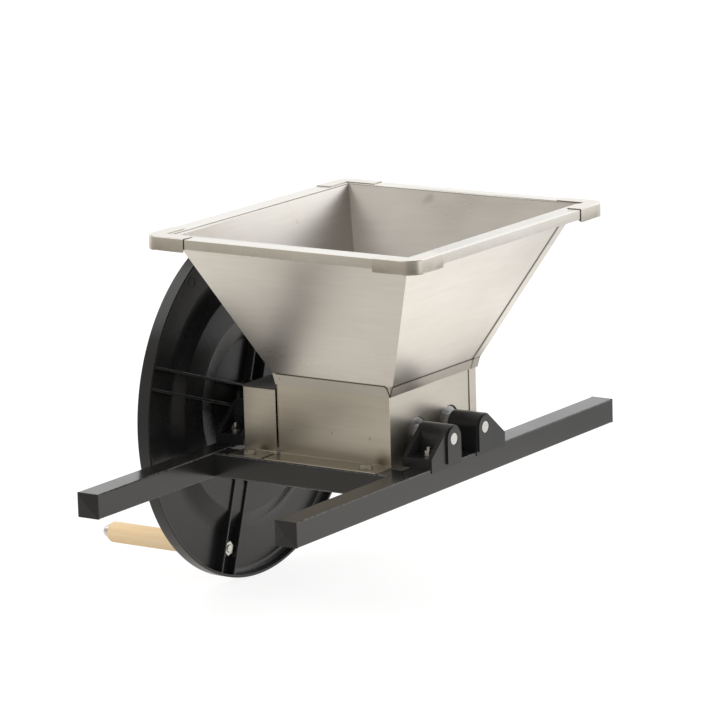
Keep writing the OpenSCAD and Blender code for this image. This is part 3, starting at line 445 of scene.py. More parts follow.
# The box, its guard and the other stainless pieces get a darker copy of the hopper's steel, as painted shade
SHADED_STAINLESS = make_stainless("stainless", (0.75, 0.705, 0.625), BRUSHED, 0.31, streaked=0.32)
HOPPER_STEEL = make_stainless("hopper_steel", (0.92, 0.885, 0.84), BRUSHED, 0.31, streaked=0.20, crease_shades=True)
print("sheet steels:", SHADED_STAINLESS.name, HOPPER_STEEL.name)

# %% [markdown]
# The rim is blotched, and its upright faces get darker towards their lower edge. Two of the corner caps don't
# close on their rails, and the shadow in each gap is painted as a dark line. The gaps' places are read from the
# caps themselves: where each leg ends, and how high its top is.

# %% Rim and cap steel, with painted shadow in the open seams
cap_points = [v.co / MM for v in NODES["rim_corner_caps"].data.vertices]
cap_low, cap_high = span(cap_points)
middle = (cap_low + cap_high) / 2
leg_x = max(p.x for p in cap_points if p.x < middle.x)
leg_y = min(p.y for p in cap_points if p.y > middle.y)
seam_top, front_y, right_x = cap_high.z - 1, cap_low.y + 1, cap_high.x - 1
seam_x, seam_y, rear_y = leg_x + 0.6, leg_y - 0.6, cap_high.y - 20.5
SEAM_SHADOWS = [
    ((seam_x, front_y, cap_low.z), (seam_x, front_y, seam_top), 0.8),
    ((seam_x, front_y, seam_top), (seam_x, cap_low.y + 20, seam_top), 0.7),
    ((right_x, seam_y, cap_low.z), (right_x, seam_y, seam_top), 0.8),
    ((right_x, seam_y, seam_top), (cap_high.x - 20, seam_y, seam_top), 0.7),
    ((cap_high.x - 58, rear_y, seam_top), (cap_high.x - 22, rear_y, seam_top), 0.6),
]
TOP, LOWER_TONE_DEPTH = cap_high.z * MM, 14 * MM
RIM_STEEL = make_stainless(
    "rim_steel", (0.87, 0.845, 0.80), (700, 700, 700), 0.29, 1.4, rim=(TOP, LOWER_TONE_DEPTH, 0.34, SEAM_SHADOWS))
CAP_STEEL = make_stainless(
    "cap_steel", (0.84, 0.805, 0.745), (1100, 1100, 1100), 0.30, 1.4, rim=(TOP, LOWER_TONE_DEPTH, 0.62, []))
print("cap legs end at x", round(leg_x, 1), "and y", round(leg_y, 1), "tops at", round(cap_high.z, 1))

# %% [markdown]
# ## Black paint, black plastic, zinc, alloy and wood
# Powder paint has a fine orange peel and is paler along its edges, as wear and as a painted highlight.
# Moulded plastic is smoother with a faint sheen. Zinc plating is pale and slightly mottled, and duller on the
# flange bolts. Cast alloy is dull and grainy, greased gears are nearly black, and the grip is bare pine with
# its grain along its length.

# %% Other finishes
def make_black(name, colour, roughness, fineness, strength, wear_and_highlight):
    material, tree, shader, where = new_material(name, colour, 0.0, roughness)
    peel = grain(tree, where, (fineness,) * 3, 2.0, 0.3)
    haze = grain(tree, where, (14, 14, 14), 3.0, 0.3)
    base = mixed(tree, haze, times(colour, 0.8), times(colour, 1.3))
    # Paler edges, as wear and a painted highlight
    base = tinted(tree, base, worn_and_highlit(tree, where, 220), wear_and_highlight, (0.20, 0.20, 0.20))
    gloss = ranged(tree, haze, 0, 1, roughness - 0.05, roughness + 0.07)
    finished(tree, shader, base, gloss, peel, strength, 0.0002)
    return material


def make_metal(name, colour, roughness, fineness, strength, wear_and_highlight=0.4):
    material, tree, shader, where = new_material(name, colour, 1.0, roughness)
    mottle = grain(tree, where, (fineness,) * 3, 3.0, 0.3)
    base = mixed(tree, mottle, times(colour, 0.75), (*colour, 1))
    # Paler edges, as wear and a painted highlight
    base = tinted(tree, base, worn_and_highlit(tree, where, 400), wear_and_highlight, (0.9, 0.9, 0.88))
    gloss = ranged(tree, mottle, 0, 1, roughness - 0.06, roughness + 0.08)
    finished(tree, shader, base, gloss, mottle, strength)
    return material


def make_wood(name):
    material, tree, shader, where = new_material(name, (0.98, 0.78, 0.50), 0.0, 0.5)
    rings = grain(tree, where, (5, 110, 110), 3.0, 0.22)
    pores = grain(tree, where, (60, 1500, 1500), 2.0, 0.25)
    base = mixed(tree, rings, (0.95, 0.66, 0.345, 1), (1.0, 0.835, 0.575, 1))
    base = mixed(tree, ranged(tree, pores, 0, 1, 0.22, 0), base, (0.74, 0.46, 0.22, 1))
    finished(tree, shader, base, ranged(tree, rings, 0, 1, 0.42, 0.56), pores, 0.2)
    return material


print("paint, plastic, metal and wood can be made")

# %% [markdown]
# A solid's finish goes by its material slot. A few pieces have one of their own: the corner caps, the gear
# cover, the gears, the flange's fasteners, the rim and the hopper.

# %% Which piece has which finish
POWDER_BLACK = make_black("powder_black", (0.015, 0.015, 0.0145), 0.20, 900, 0.06, 0.30)
POWDER_BLACK.node_tree.nodes["Principled BSDF"].inputs["Specular IOR Level"].default_value = 0.6
# The gear cover's paint is lighter and rougher than the rails': the lighter colour is painted light on its top
LIGHTENED_COVER_BLACK = make_black("lightened_cover_black", (0.040, 0.040, 0.040), 0.45, 900, 0.10, 0.40)
PLASTIC_BLACK = make_black("plastic_black", (0.0140, 0.0140, 0.0148), 0.27, 1500, 0.05, 0.20)
ZINC = make_metal("zinc_steel", (0.80, 0.79, 0.76), 0.30, 400, 0.12)
ALLOY = make_metal("cast_alloy", (0.60, 0.60, 0.60), 0.45, 250, 0.25)
STAINED_ZINC = make_metal("stained_zinc", (0.52, 0.49, 0.43), 0.34, 400, 0.12)
GREASED = make_metal("greased_gear", (0.030, 0.027, 0.023), 0.45, 160, 0.2, 0.0)
PINE = make_wood("pine")
FINISH = {
    "powder_black": POWDER_BLACK, "plastic_black": PLASTIC_BLACK, "stainless": SHADED_STAINLESS,
    "zinc_steel": ZINC, "cast_alloy": ALLOY, "pine": PINE,
}
SPECIAL = {
    "rim_corner_caps": CAP_STEEL, "gear_cover_plate": LIGHTENED_COVER_BLACK, "drive_gear": GREASED,
    "driven_gear": GREASED, "flange_bolts": STAINED_ZINC, "flange_washers": STAINED_ZINC,
}
SPECIAL.update({name: RIM_STEEL for name in NODES if name.endswith("_rim_rail")})
SPECIAL.update({name: HOPPER_STEEL for name in NODES if name.startswith("hopper_")})
for name, node in NODES.items():
    node.data.materials.clear()
    node.data.materials.append(SPECIAL.get(name, FINISH[SLOT_OF[name]]))
print("finishes:", len(bpy.data.materials))

# %% [markdown]
# ## Rounded edges
# A drawn solid has perfectly sharp edges, and they look false because no edge catches the light. Folded sheet
# has a bend of a millimetre or two, a rolled tube has a larger one, and moulded plastic a small one. Each
# piece is copied, its loose triangles are merged, and a sharp edge between two wide faces gets the bend's
# radius, while every other sharp edge gets a fine one. The new faces are marked for the edge wear and the
# painted highlight.

# %% Finding and rounding edges
WIDE_FACE, MERGE, FLAT = 4.5, 0.004, 0.4


def sharp_edges(shape, wide):
    found = []
    for edge in shape.edges:
        if len(edge.link_faces) == 2 and abs(edge.calc_face_angle(0)) > math.radians(20):
            length = max(edge.calc_length(), 1e-9)
            is_wide = all(face.calc_area() / length > WIDE_FACE * MM for face in edge.link_faces)
            if is_wide == wide:
                found.append(edge)
    return found


def rounded_shape(shape, bend, fine, marks):
    for wide, radius, steps in ((True, bend, 3), (False, fine, 2)):
        edges = sharp_edges(shape, wide)
        edges = [edge for edge in edges if all(face[marks] == 0 for face in edge.link_faces)]
        if radius and edges:
            made = bmesh.ops.bevel(
                shape, geom=edges, offset=radius * MM, offset_type="OFFSET", segments=steps, profile=0.5,
                affect="EDGES", clamp_overlap=True, material=-1, loop_slide=True)
            for face in made["faces"]:
                face[marks] = 1.0


print("edges count as wide from", WIDE_FACE, "mm of face beside them")

# %% [markdown]
# A finished piece gets soft shading that follows its large faces. Then it rides with its body, and the solid it
# stands for is hidden. A rounded corner may bulge by a hair, so the points stay within the solid's box.

# %% Finishing a piece
def to_mesh(name, shape):
    mesh = bpy.data.meshes.new(name)
    shape.to_mesh(mesh)
    shape.free()
    return mesh


def plain_piece(name, source):
    graph = bpy.context.evaluated_depsgraph_get()
    done = bpy.data.meshes.new_from_object(source.evaluated_get(graph))
    bpy.data.objects.remove(source)
    done.name = name
    return in_scene(name, done)


def finish_mesh(name, shape, material, smooth_angle=50):
    shape.normal_update()
    for face in shape.faces:
        face.smooth = True
    mesh = to_mesh(name, shape)
    mesh.set_sharp_from_angle(angle=math.radians(smooth_angle))
    rough = in_scene(name + "_rough", mesh)
    even = rough.modifiers.new("even_normals", "WEIGHTED_NORMAL")
    even.keep_sharp = True
    piece = plain_piece(name, rough)
    piece.data.materials.clear()
    piece.data.materials.append(material)
    return piece


def stands_for(piece, *nodes):
    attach(piece, BODY_OF[nodes[0]])
    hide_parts(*nodes)


def rounded(node, bend, fine, smooth_angle=50, change=None):
    shape = bmesh.new()
    shape.from_mesh(NODES[node].data)
    bmesh.ops.remove_doubles(shape, verts=shape.verts, dist=MERGE * MM)
    bmesh.ops.dissolve_limit(shape, angle_limit=math.radians(FLAT), verts=shape.verts, edges=shape.edges)
    if change:
        change(shape)
    marks = shape.faces.layers.float.new("edge")
    low, high = span([vertex.co for vertex in shape.verts])
    rounded_shape(shape, bend, fine, marks)
    for vertex in shape.verts:
        vertex.co = [min(max(vertex.co[axis], low[axis]), high[axis]) for axis in range(3)]
    piece = finish_mesh("round_" + node, shape, NODES[node].data.materials[0], smooth_angle)
    stands_for(piece, node)
    return piece


print("pieces can stand for", len(NODES), "solids")

# %% [markdown]
# On the real hopper the two side skirts don't hang straight down: they stand out about 4 mm at the fold and
# lean in to the box. Moving only the corners at the fold's level sideways gives that lean, and the wide front
# and rear walls stay flat.

# %% The hopper's leaning side skirts
SKIRT_MIDDLE, NEAR_FOLD = 27.0, 1.5


def lean_skirts(shape):
    moved = 0
    for vertex in shape.verts:
        if abs(vertex.co.z / MM - FOLD) < NEAR_FOLD:
            vertex.co.x += math.copysign(SKIRT_FLARE * MM, vertex.co.x - SKIRT_MIDDLE * MM)
            moved += 1
    print("corners moved at the fold:", moved)


print("the side skirts stand out by", SKIRT_FLARE, "mm")

# %% [markdown]
# Each piece gets its own bend and fine edge, in millimetres. The end plugs keep their shallow pyramid crisp,
# so their faces aren't smoothed together.

# %% Bends and fine edges
SMOOTH = {"rail_end_plugs": 4}
CHANGE = {"hopper_front_right_sheet": lean_skirts, "hopper_rear_left_sheet": lean_skirts}
ROUNDINGS = {
    "left_rail": (2.2, 0.2), "right_rail": (2.2, 0.2),
    "front_cross_tube": (2.2, 0.2), "rear_cross_tube": (2.2, 0.2),
    "rail_end_plugs": (0.6, 0.4), "gear_cover_plate": (0.8, 0.4),
    **{end + "_block": (0.8, 0.3) for end in ("front_right", "rear_right", "front_left", "rear_left")},
    "box_front_right_sheet": (1.6, 0.15), "box_rear_left_sheet": (1.6, 0.15), "gear_guard": (1.6, 0.15),
    "hopper_front_right_sheet": (1.5, 0.15), "hopper_rear_left_sheet": (1.5, 0.15),
    **{side + "_rim_rail": (1.2, 0.2) for side in ("front", "rear", "left", "right")},
    "rim_corner_caps": (1.4, 0.2),
    "block_nuts": (0.35, 0.2), "block_washers": (0.2, 0.2),
    "flange_bolts": (0.4, 0.3), "flange_washers": (0.25, 0.25),
    "crank_nuts": (0.4, 0.3), "crank_washers": (0.25, 0.25), "crank_dome_nut": (0.3, 0.2), "hub_nut": (0.4, 0.3),
    "hub_washer": (0.3, 0.3), "block_bolts": (0.2, 0.2), "crank_bolt": (0.3, 0.3),
    "rear_shaft": (0.5, 0.2), "front_shaft": (0.5, 0.2), "drive_gear": (0.3, 0.2), "driven_gear": (0.3, 0.2),
    "wooden_grip": (0.3, 0.3), "hub_spacer": (0.4, 0.3),
    "rear_spacer_sleeve": (0.4, 0.3), "front_spacer_sleeve": (0.4, 0.3),
}
for name, (bend, fine) in ROUNDINGS.items():
    piece = rounded(name, bend, fine, SMOOTH.get(name, 50), CHANGE.get(name))
    print(piece.name, len(piece.data.polygons), "faces")

# %% [markdown]
# ## The flywheel
# The wheel is one black moulding: a rim band, a dished web with a raised ring, a hub, and four spokes of two
# thin ribs each. Its body is a shape of revolution, so one profile is turned about the shaft, with far more
# steps than the drawn solid has. A profile is a list of points: how far out from the shaft, and how far along
# it from the plane of the lip.

# %% The wheel's profile, turned
SHAFT_GAP, SHAFT_Z = 69.0, 58.0
WHEEL_X, WHEEL_Y, CRANK_TURN = -177.5, SHAFT_GAP / 2, math.radians(-18)
CENTRE = (WHEEL_X * MM, WHEEL_Y * MM, SHAFT_Z * MM)
RADIUS, BAND, WEB, LIP = 223.0, 17.0, 3.0, 3.5
RING_OUT, RING_IN, SLOPE_OUT, SLOPE_IN = 142.0, 106.0, 24.0, 30.0
HUB, HUB_FRONT, HUB_BACK, BORE = 23.0, 3.7, -21.0, 7.05
RING_TOP, RIB_TOP = -5.0, -2.5
FLOOR = -BAND + WEB
DISH = FLOOR + 1.0


def arc(cx, cy, radius, start, stop, steps):
    turns = [math.radians(start + (stop - start) * i / steps) for i in range(steps + 1)]
    return [(cx + radius * math.cos(a), cy + radius * math.sin(a)) for a in turns]


WHEEL_PROFILE = (
    [(BORE, HUB_FRONT)] + arc(HUB - 1.2, HUB_FRONT - 1.2, 1.2, 90, 0, 4)
    + arc(HUB + 5, DISH + 5, 5, 180, 270, 8)
    + [(RING_IN - SLOPE_IN, DISH), (RING_IN - 30, DISH + 0.25), (RING_IN - 4, RING_TOP - 1.1),
       (RING_IN - 1.5, RING_TOP - 0.35), (RING_IN + 0.6, RING_TOP), (RING_OUT - 0.8, RING_TOP),
       (RING_OUT + 0.8, RING_TOP - 0.35)]
    + [(RING_OUT + SLOPE_OUT - 8, FLOOR + 2.2), (RING_OUT + SLOPE_OUT - 3, FLOOR + 0.8),
       (RING_OUT + SLOPE_OUT + 2, FLOOR + 0.15), (RING_OUT + SLOPE_OUT + 6, FLOOR)]
    + arc(RADIUS - LIP - 7, FLOOR + 7, 7, 270, 360, 12)
    + arc(RADIUS - LIP + 0.8, -0.8, 0.8, 180, 90, 3) + arc(RADIUS - 0.8, -0.8, 0.8, 90, 0, 3)
    + arc(RADIUS - 1.6, -BAND + 1.6, 1.6, 0, -90, 5)
    + [(RING_OUT + SLOPE_OUT - 1, -BAND), (RING_OUT - 1, RING_TOP - WEB), (RING_IN + 1, RING_TOP - WEB),
       (RING_IN - SLOPE_IN, DISH - WEB), (HUB + 6, DISH - WEB), (HUB, DISH - WEB - 2)]
    + arc(HUB - 0.8, HUB_BACK + 0.8, 0.8, 0, -90, 3) + [(BORE, HUB_BACK)]
)


def shift(shape, vec):
    bmesh.ops.translate(shape, verts=shape.verts, vec=vec)


def revolved(shape, profile, steps):
    ring = [shape.verts.new((x * MM, 0, r * MM)) for r, x in profile]
    edges = [shape.edges.new((ring[i], ring[(i + 1) % len(ring)])) for i in range(len(ring))]
    bmesh.ops.spin(shape, geom=ring + edges, cent=(0, 0, 0), axis=(1, 0, 0), angle=math.tau, steps=steps)
    bmesh.ops.remove_doubles(shape, verts=shape.verts, dist=0.001 * MM)
    bmesh.ops.recalc_face_normals(shape, faces=shape.faces)


wheel_shape = bmesh.new()
wheel_shape.faces.layers.float.new("edge")
revolved(wheel_shape, WHEEL_PROFILE, 240)
shift(wheel_shape, CENTRE)
wheel = finish_mesh("wheel", wheel_shape, PLASTIC_BLACK, 40)
stands_for(wheel, "flywheel")
print("wheel faces:", len(wheel.data.polygons))

# %% [markdown]
# The photograph shows the ribs' tops just below the lip, and the raised ring a little below the ribs. A rib
# follows the dish with its foot, and its top is straight, with rounded edges that catch the light.

# %% One rib, with rounded top edges
RIB_SPACING, RIB_THICK, SPOKES = 26.5, 3.0, 4
SUNK, EDGE_ROUND = 1.5, 0.7


def raised(shape, outline, vec):
    face = shape.faces.new([shape.verts.new(point) for point in outline])
    sides = bmesh.ops.extrude_face_region(shape, geom=[face])
    moved = [item for item in sides["geom"] if isinstance(item, bmesh.types.BMVert)]
    bmesh.ops.translate(shape, verts=moved, vec=vec)


def on_top(edge):
    level = all(abs(v.co.x - RIB_TOP * MM) < 0.01 * MM for v in edge.verts)
    return level and edge.calc_length() > 50 * MM


def softened(shape, edges, steps):
    return bmesh.ops.bevel(
        shape, geom=edges, offset=EDGE_ROUND * MM, offset_type="OFFSET", segments=steps,
        profile=0.5, affect="EDGES")


def rib_mesh():
    shape = bmesh.new()
    top = [(HUB - 3, RIB_TOP), (RADIUS - LIP / 2, RIB_TOP)]
    foot = [
        (RADIUS - LIP / 2, FLOOR - SUNK), (RING_OUT + SLOPE_OUT, FLOOR - SUNK), (RING_OUT, RING_TOP - SUNK),
        (RING_IN, RING_TOP - SUNK), (RING_IN - 3, RING_TOP - 2.5), (RING_IN - SLOPE_IN, DISH - SUNK),
        (HUB - 3, DISH - SUNK)]
    outline = [(x * MM, -RIB_THICK / 2 * MM, r * MM) for r, x in top + foot]
    raised(shape, outline, (0, RIB_THICK * MM, 0))
    softened(shape, [edge for edge in shape.edges if on_top(edge)], 3)
    bmesh.ops.recalc_face_normals(shape, faces=shape.faces)
    return to_mesh("rib", shape)


print("a rib runs from", HUB - 3, "to", RADIUS - LIP / 2, "mm")

# %% [markdown]
# A node tree can repeat a shape. Its named inputs are set by each socket's own identifier. It ends in real
# geometry with a material, and the result is kept as a plain mesh, so nothing depends on the modifier later.

# %% Tools for node trees
def new_tree(name, inputs):
    tree = bpy.data.node_groups.new(name, "GeometryNodeTree")
    tree.interface.new_socket("Geometry", in_out="INPUT", socket_type="NodeSocketGeometry")
    for label, kind in inputs:
        tree.interface.new_socket(label, in_out="INPUT", socket_type="NodeSocket" + kind)
    tree.interface.new_socket("Geometry", in_out="OUTPUT", socket_type="NodeSocketGeometry")
    return tree, add(tree, "NodeGroupInput").outputs, add(tree, "NodeGroupOutput").inputs["Geometry"]


def close_tree(tree, geometry, material, end):
    real = add(tree, "GeometryNodeRealizeInstances")
    paint = add(tree, "GeometryNodeSetMaterial")
    join(tree, geometry, real.inputs[0])
    join(tree, real.outputs[0], paint.inputs["Geometry"])
    join(tree, material, paint.inputs["Material"])
    join(tree, paint.outputs[0], end)


def xyz(tree, x=0.0, y=0.0, z=0.0):
    node = add(tree, "ShaderNodeCombineXYZ")
    for value, socket in zip((x, y, z), node.inputs):
        put(tree, value, socket)
    return node.outputs[0]


def grown(name, mesh, tree, values):
    source = in_scene(name + "_source", mesh)
    modifier = source.modifiers.new("grow", "NODES")
    modifier.node_group = tree
    for item in tree.interface.items_tree:
        if item.in_out == "INPUT" and item.name in values:
            modifier[item.identifier] = values[item.name]
    return plain_piece(name, source)


print("tools for node trees are ready")

# %% [markdown]
# The ribs repeat, so a tree makes them from one rib: it places a copy for each side of each spoke and turns it
# round the axis. With other values the same tree would make a wheel with six spokes.

# %% Spokes of two ribs
def build_spoke_tree():
    tree, given, end = new_tree("spoke_ribs", [
        ("Spokes", "Int"), ("Copies", "Int"), ("Spacing", "Float"),
        ("Turn", "Float"), ("Centre", "Vector"), ("Material", "Material")])
    line = add(tree, "GeometryNodeMeshLine", {"Offset": (0, 0, 0)})
    join(tree, maths(tree, "MULTIPLY", given["Spokes"], given["Copies"]), line.inputs["Count"])
    place = add(tree, "GeometryNodeInstanceOnPoints")
    join(tree, line.outputs[0], place.inputs["Points"])
    join(tree, given["Geometry"], place.inputs["Instance"])
    index = add(tree, "GeometryNodeInputIndex").outputs[0]
    spoke = maths(tree, "FLOOR", maths(tree, "DIVIDE", index, given["Copies"]))
    half_row = maths(tree, "DIVIDE", maths(tree, "SUBTRACT", given["Copies"], 1.0), 2.0)
    side = maths(tree, "SUBTRACT", maths(tree, "MODULO", index, given["Copies"]), half_row)
    share = maths(tree, "DIVIDE", maths(tree, "MULTIPLY", spoke, math.tau), given["Spokes"])
    angle = maths(tree, "ADD", share, given["Turn"])
    turn = add(tree, "GeometryNodeRotateInstances")
    join(tree, place.outputs[0], turn.inputs["Instances"])
    join(tree, xyz(tree, angle), turn.inputs["Rotation"])
    apart = add(tree, "GeometryNodeTranslateInstances")
    join(tree, turn.outputs[0], apart.inputs["Instances"])
    join(tree, xyz(tree, 0.0, maths(tree, "MULTIPLY", side, given["Spacing"])), apart.inputs["Translation"])
    move = add(tree, "GeometryNodeTranslateInstances")
    move.inputs["Local Space"].default_value = False
    join(tree, apart.outputs[0], move.inputs["Instances"])
    join(tree, given["Centre"], move.inputs["Translation"])
    close_tree(tree, move.outputs[0], given["Material"], end)
    return tree


SPOKE_TREE = build_spoke_tree()
ribs = grown("wheel_ribs", rib_mesh(), SPOKE_TREE, {
    "Spokes": SPOKES, "Copies": 2, "Spacing": RIB_SPACING * MM,
    "Turn": CRANK_TURN, "Centre": CENTRE, "Material": PLASTIC_BLACK})
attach(ribs, BODY_OF["flywheel"])
print("rib faces:", len(ribs.data.polygons))

# %% [markdown]
# A moulded wheel keeps the round mark of a pin that pushed it out of its mould. One shows between two spokes,
# near the lip. The same tree places it: one spoke, one copy, no spacing, and a turn of its own.

# %% Moulding mark
MARK_RADIUS, MARK_AT, MARK_TURN = 7.0, 195.3, math.radians(50.4)
MARK_PROFILE = [(0, -0.3), (0.1, 0.3), (0.4, 0.4), (0.7, 0.3), (0.8, -0.3)]
mark_shape = bmesh.new()
revolved(mark_shape, [(MARK_RADIUS - inward, FLOOR + high) for inward, high in MARK_PROFILE], 32)
shift(mark_shape, (0, 0, MARK_AT * MM))
marks = grown("moulding_mark", to_mesh("mark", mark_shape), SPOKE_TREE, {
    "Spokes": 1, "Copies": 1, "Spacing": 0.0,
    "Turn": CRANK_TURN + MARK_TURN, "Centre": CENTRE, "Material": PLASTIC_BLACK})
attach(marks, BODY_OF["flywheel"])
print("mark faces:", len(marks.data.polygons))

# %% [markdown]
# ## Bosses on the crank's spoke
# The crank bolt passes through a boss between the two ribs of the lowest spoke: a low one inside, where the
# washer and nut seat, and a taller one outside. They are turned the same way as the wheel's body.

# %% Crank bosses
CRANK_RADIUS, CRANK_BORE = 188.0, 5.05
SEAT_IN, SEAT_OUT = FLOOR + 0.5, -BAND - 6.0
R_IN, R_OUT = RIB_SPACING / 2 - RIB_THICK / 2 - 1, 14.0
BOSS_PROFILE = (
    [(CRANK_BORE, SEAT_IN)] + arc(R_IN - 0.6, SEAT_IN - 0.6, 0.6, 90, 0, 3)
    + [(R_IN, FLOOR - WEB / 2), (R_OUT, FLOOR - WEB / 2)]
    + arc(R_OUT - 1, SEAT_OUT + 1, 1, 0, -90, 4) + [(CRANK_BORE, SEAT_OUT)]
)
boss_shape = bmesh.new()
boss_shape.faces.layers.float.new("edge")
revolved(boss_shape, BOSS_PROFILE, 64)
shift(boss_shape, (0, 0, -CRANK_RADIUS * MM))
bmesh.ops.rotate(boss_shape, verts=boss_shape.verts, cent=(0, 0, 0), matrix=Matrix.Rotation(CRANK_TURN, 3, "X"))
shift(boss_shape, CENTRE)
bosses = finish_mesh("crank_bosses", boss_shape, PLASTIC_BLACK, 40)
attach(bosses, BODY_OF["flywheel"])
print("bosses:", len(bosses.data.polygons), "faces")

# %% [markdown]
# ## The toothed rollers
# Each roller is a cast core with toothed rings, and each ring is turned a little further than the last, so
# that the teeth bite one after the other. That is a rule, so a node tree follows it: a row of points along
# the shaft, one ring on each, turned by its number times a step. The rings' teeth have the worn, rounded
# edges of a casting.

# %% One toothed ring
CORE, TIP_GAP, TOOTH, TEETH = 20.5, 4.5, 15.0, 6
RING_W, RING_GAP = 8.5, 2.0
TIP = SHAFT_GAP - CORE - TIP_GAP
ROOT = TIP - TOOTH
# A tooth's outline: share of the tooth's turn, and share of its height
TOOTH_SHARES = [(0, 0), (0.06, 0.9), (0.1, 1), (0.22, 1), (0.5, 0.62), (0.8, 0.12)]
ROUNDED_FROM, CRISP_FROM = math.radians(40), math.radians(35)


def ring_mesh(hand):
    shape = bmesh.new()
    marks = shape.faces.layers.float.new("edge")
    outline = []
    for tooth in range(TEETH):
        for share, depth in TOOTH_SHARES:
            a, r = hand * (tooth + share) * math.tau / TEETH, (ROOT + depth * TOOTH) * MM
            outline.append((0, r * math.cos(a), r * math.sin(a)))
    raised(shape, outline, (RING_W * MM, 0, 0))
    bmesh.ops.recalc_face_normals(shape, faces=shape.faces)
    edges = [edge for edge in shape.edges if abs(edge.calc_face_angle(0)) > ROUNDED_FROM]
    for face in softened(shape, edges, 2)["faces"]:
        face[marks] = 1.0
    for face in shape.faces:
        face.smooth = True
    mesh = to_mesh("ring", shape)
    mesh.set_sharp_from_angle(angle=CRISP_FROM)
    return mesh


print("tooth tips at", TIP, "mm and tooth feet at", ROOT, "mm from the shaft")

# %% [markdown]
# The rollers fill the crushing box between its walls. The rings of one stand in the gaps of the other, so the
# two rows begin one ring and one gap apart, and they are turned opposite ways.

# %% The row of rings
def build_ring_tree():
    tree, given, end = new_tree("ring_row", [
        ("Count", "Int"), ("Pitch", "Float"), ("Step", "Float"),
        ("Start", "Vector"), ("Material", "Material")])
    line = add(tree, "GeometryNodeMeshLine")
    join(tree, given["Count"], line.inputs["Count"])
    join(tree, given["Start"], line.inputs["Start Location"])
    join(tree, xyz(tree, given["Pitch"]), line.inputs["Offset"])
    place = add(tree, "GeometryNodeInstanceOnPoints")
    join(tree, line.outputs[0], place.inputs["Points"])
    join(tree, given["Geometry"], place.inputs["Instance"])
    angle = maths(tree, "MULTIPLY", add(tree, "GeometryNodeInputIndex").outputs[0], given["Step"])
    join(tree, xyz(tree, angle), place.inputs["Rotation"])
    close_tree(tree, place.outputs[0], given["Material"], end)
    return tree


RING_TREE = build_ring_tree()
BOX_X0, BOX_X1, END_GAP, NECK = -54.0, 107.0, 1.5, 11.0
ROLL_X0, ROLL_X1 = BOX_X0 + END_GAP, BOX_X1 - END_GAP
PITCH = 2 * (RING_W + RING_GAP)
RINGS = int((ROLL_X1 - ROLL_X0 + RING_GAP) // PITCH)
FIRST = (ROLL_X0 + ROLL_X1 - RINGS * PITCH + RING_GAP) / 2


def core_profile(x0, x1):
    return (
        [(BORE, x0), (NECK - 0.5, x0), (NECK, x0 + 0.5), (NECK, ROLL_X0 - 0.8), (NECK + 0.8, ROLL_X0)]
        + arc(CORE - 1, ROLL_X0 + 1, 1, -90, 0, 3) + arc(CORE - 1, ROLL_X1 - 1, 1, 0, 90, 3)
        + [(NECK + 0.8, ROLL_X1), (NECK, ROLL_X1 + 0.8), (NECK, x1 - 0.5), (NECK - 0.5, x1), (BORE, x1)])


def roller(side, hand, first, y):
    rings = grown(side + "_roller_rings", ring_mesh(hand), RING_TREE, {
        "Count": RINGS, "Pitch": PITCH * MM, "Step": hand * math.tau / TEETH / RINGS,
        "Start": (first * MM, y * MM, SHAFT_Z * MM), "Material": ALLOY})
    shape = bmesh.new()
    shape.faces.layers.float.new("edge")
    low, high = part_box(side + "_roller")
    revolved(shape, core_profile(low[0] / MM, high[0] / MM), 96)
    shift(shape, (0, y * MM, SHAFT_Z * MM))
    core = finish_mesh(side + "_roller_core", shape, ALLOY, 40)
    stands_for(core, side + "_roller")
    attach(rings, BODY_OF[side + "_roller"])
    print(side, "roller:", RINGS, "rings,", len(rings.data.polygons) + len(core.data.polygons), "faces")


roller("rear", 1, FIRST + RING_W + RING_GAP, SHAFT_GAP / 2)
roller("front", -1, FIRST, -SHAFT_GAP / 2)

# %% [markdown]
# ## Screw threads
# The bolts' bare ends show their threads. A thread is a small ridge that follows a helix, so one node tree
# sweeps a ridge along a spiral of the right pitch, and a copy of it lies on each bolt end. The ridge stays
# within the bolt's own size. How deep it is follows from the pitch.

# %% Thread tree
RIDGE_SHARE, TURN_STEPS = 0.42, 24


def build_thread_tree():
    tree, given, end = new_tree("thread", [
        ("Radius", "Float"), ("Pitch", "Float"), ("Length", "Float"),
        ("Turn", "Vector"), ("Material", "Material")])
    helix = add(tree, "GeometryNodeCurveSpiral", {"Resolution": TURN_STEPS})
    join(tree, maths(tree, "DIVIDE", given["Length"], given["Pitch"]), helix.inputs["Rotations"])
    for label in ("Start Radius", "End Radius"):
        join(tree, given["Radius"], helix.inputs[label])
    join(tree, given["Length"], helix.inputs["Height"])
    ridge = add(tree, "GeometryNodeCurvePrimitiveCircle", {"Resolution": 4})
    join(tree, maths(tree, "MULTIPLY", given["Pitch"], RIDGE_SHARE), ridge.inputs["Radius"])
    sweep = add(tree, "GeometryNodeCurveToMesh", {"Fill Caps": True})
    join(tree, helix.outputs[0], sweep.inputs["Curve"])
    join(tree, ridge.outputs[0], sweep.inputs["Profile Curve"])
    place = add(tree, "GeometryNodeInstanceOnPoints")
    join(tree, given["Geometry"], place.inputs["Points"])
    join(tree, sweep.outputs[0], place.inputs["Instance"])
    join(tree, given["Turn"], place.inputs["Rotation"])
    close_tree(tree, place.outputs[0], given["Material"], end)
    return tree


def threads(name, node, points, radius, pitch, length, turn):
    mesh = bpy.data.meshes.new(name + "_points")
    mesh.from_pydata([tuple(v * MM for v in point) for point in points], [], [])
    piece = grown(name, mesh, THREAD_TREE, {
        "Radius": (radius - RIDGE_SHARE * pitch) * MM, "Pitch": pitch * MM, "Length": length * MM,
        "Turn": turn, "Material": ZINC})
    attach(piece, BODY_OF[node])
    print(name, len(points), "ends,", len(piece.data.polygons), "faces")


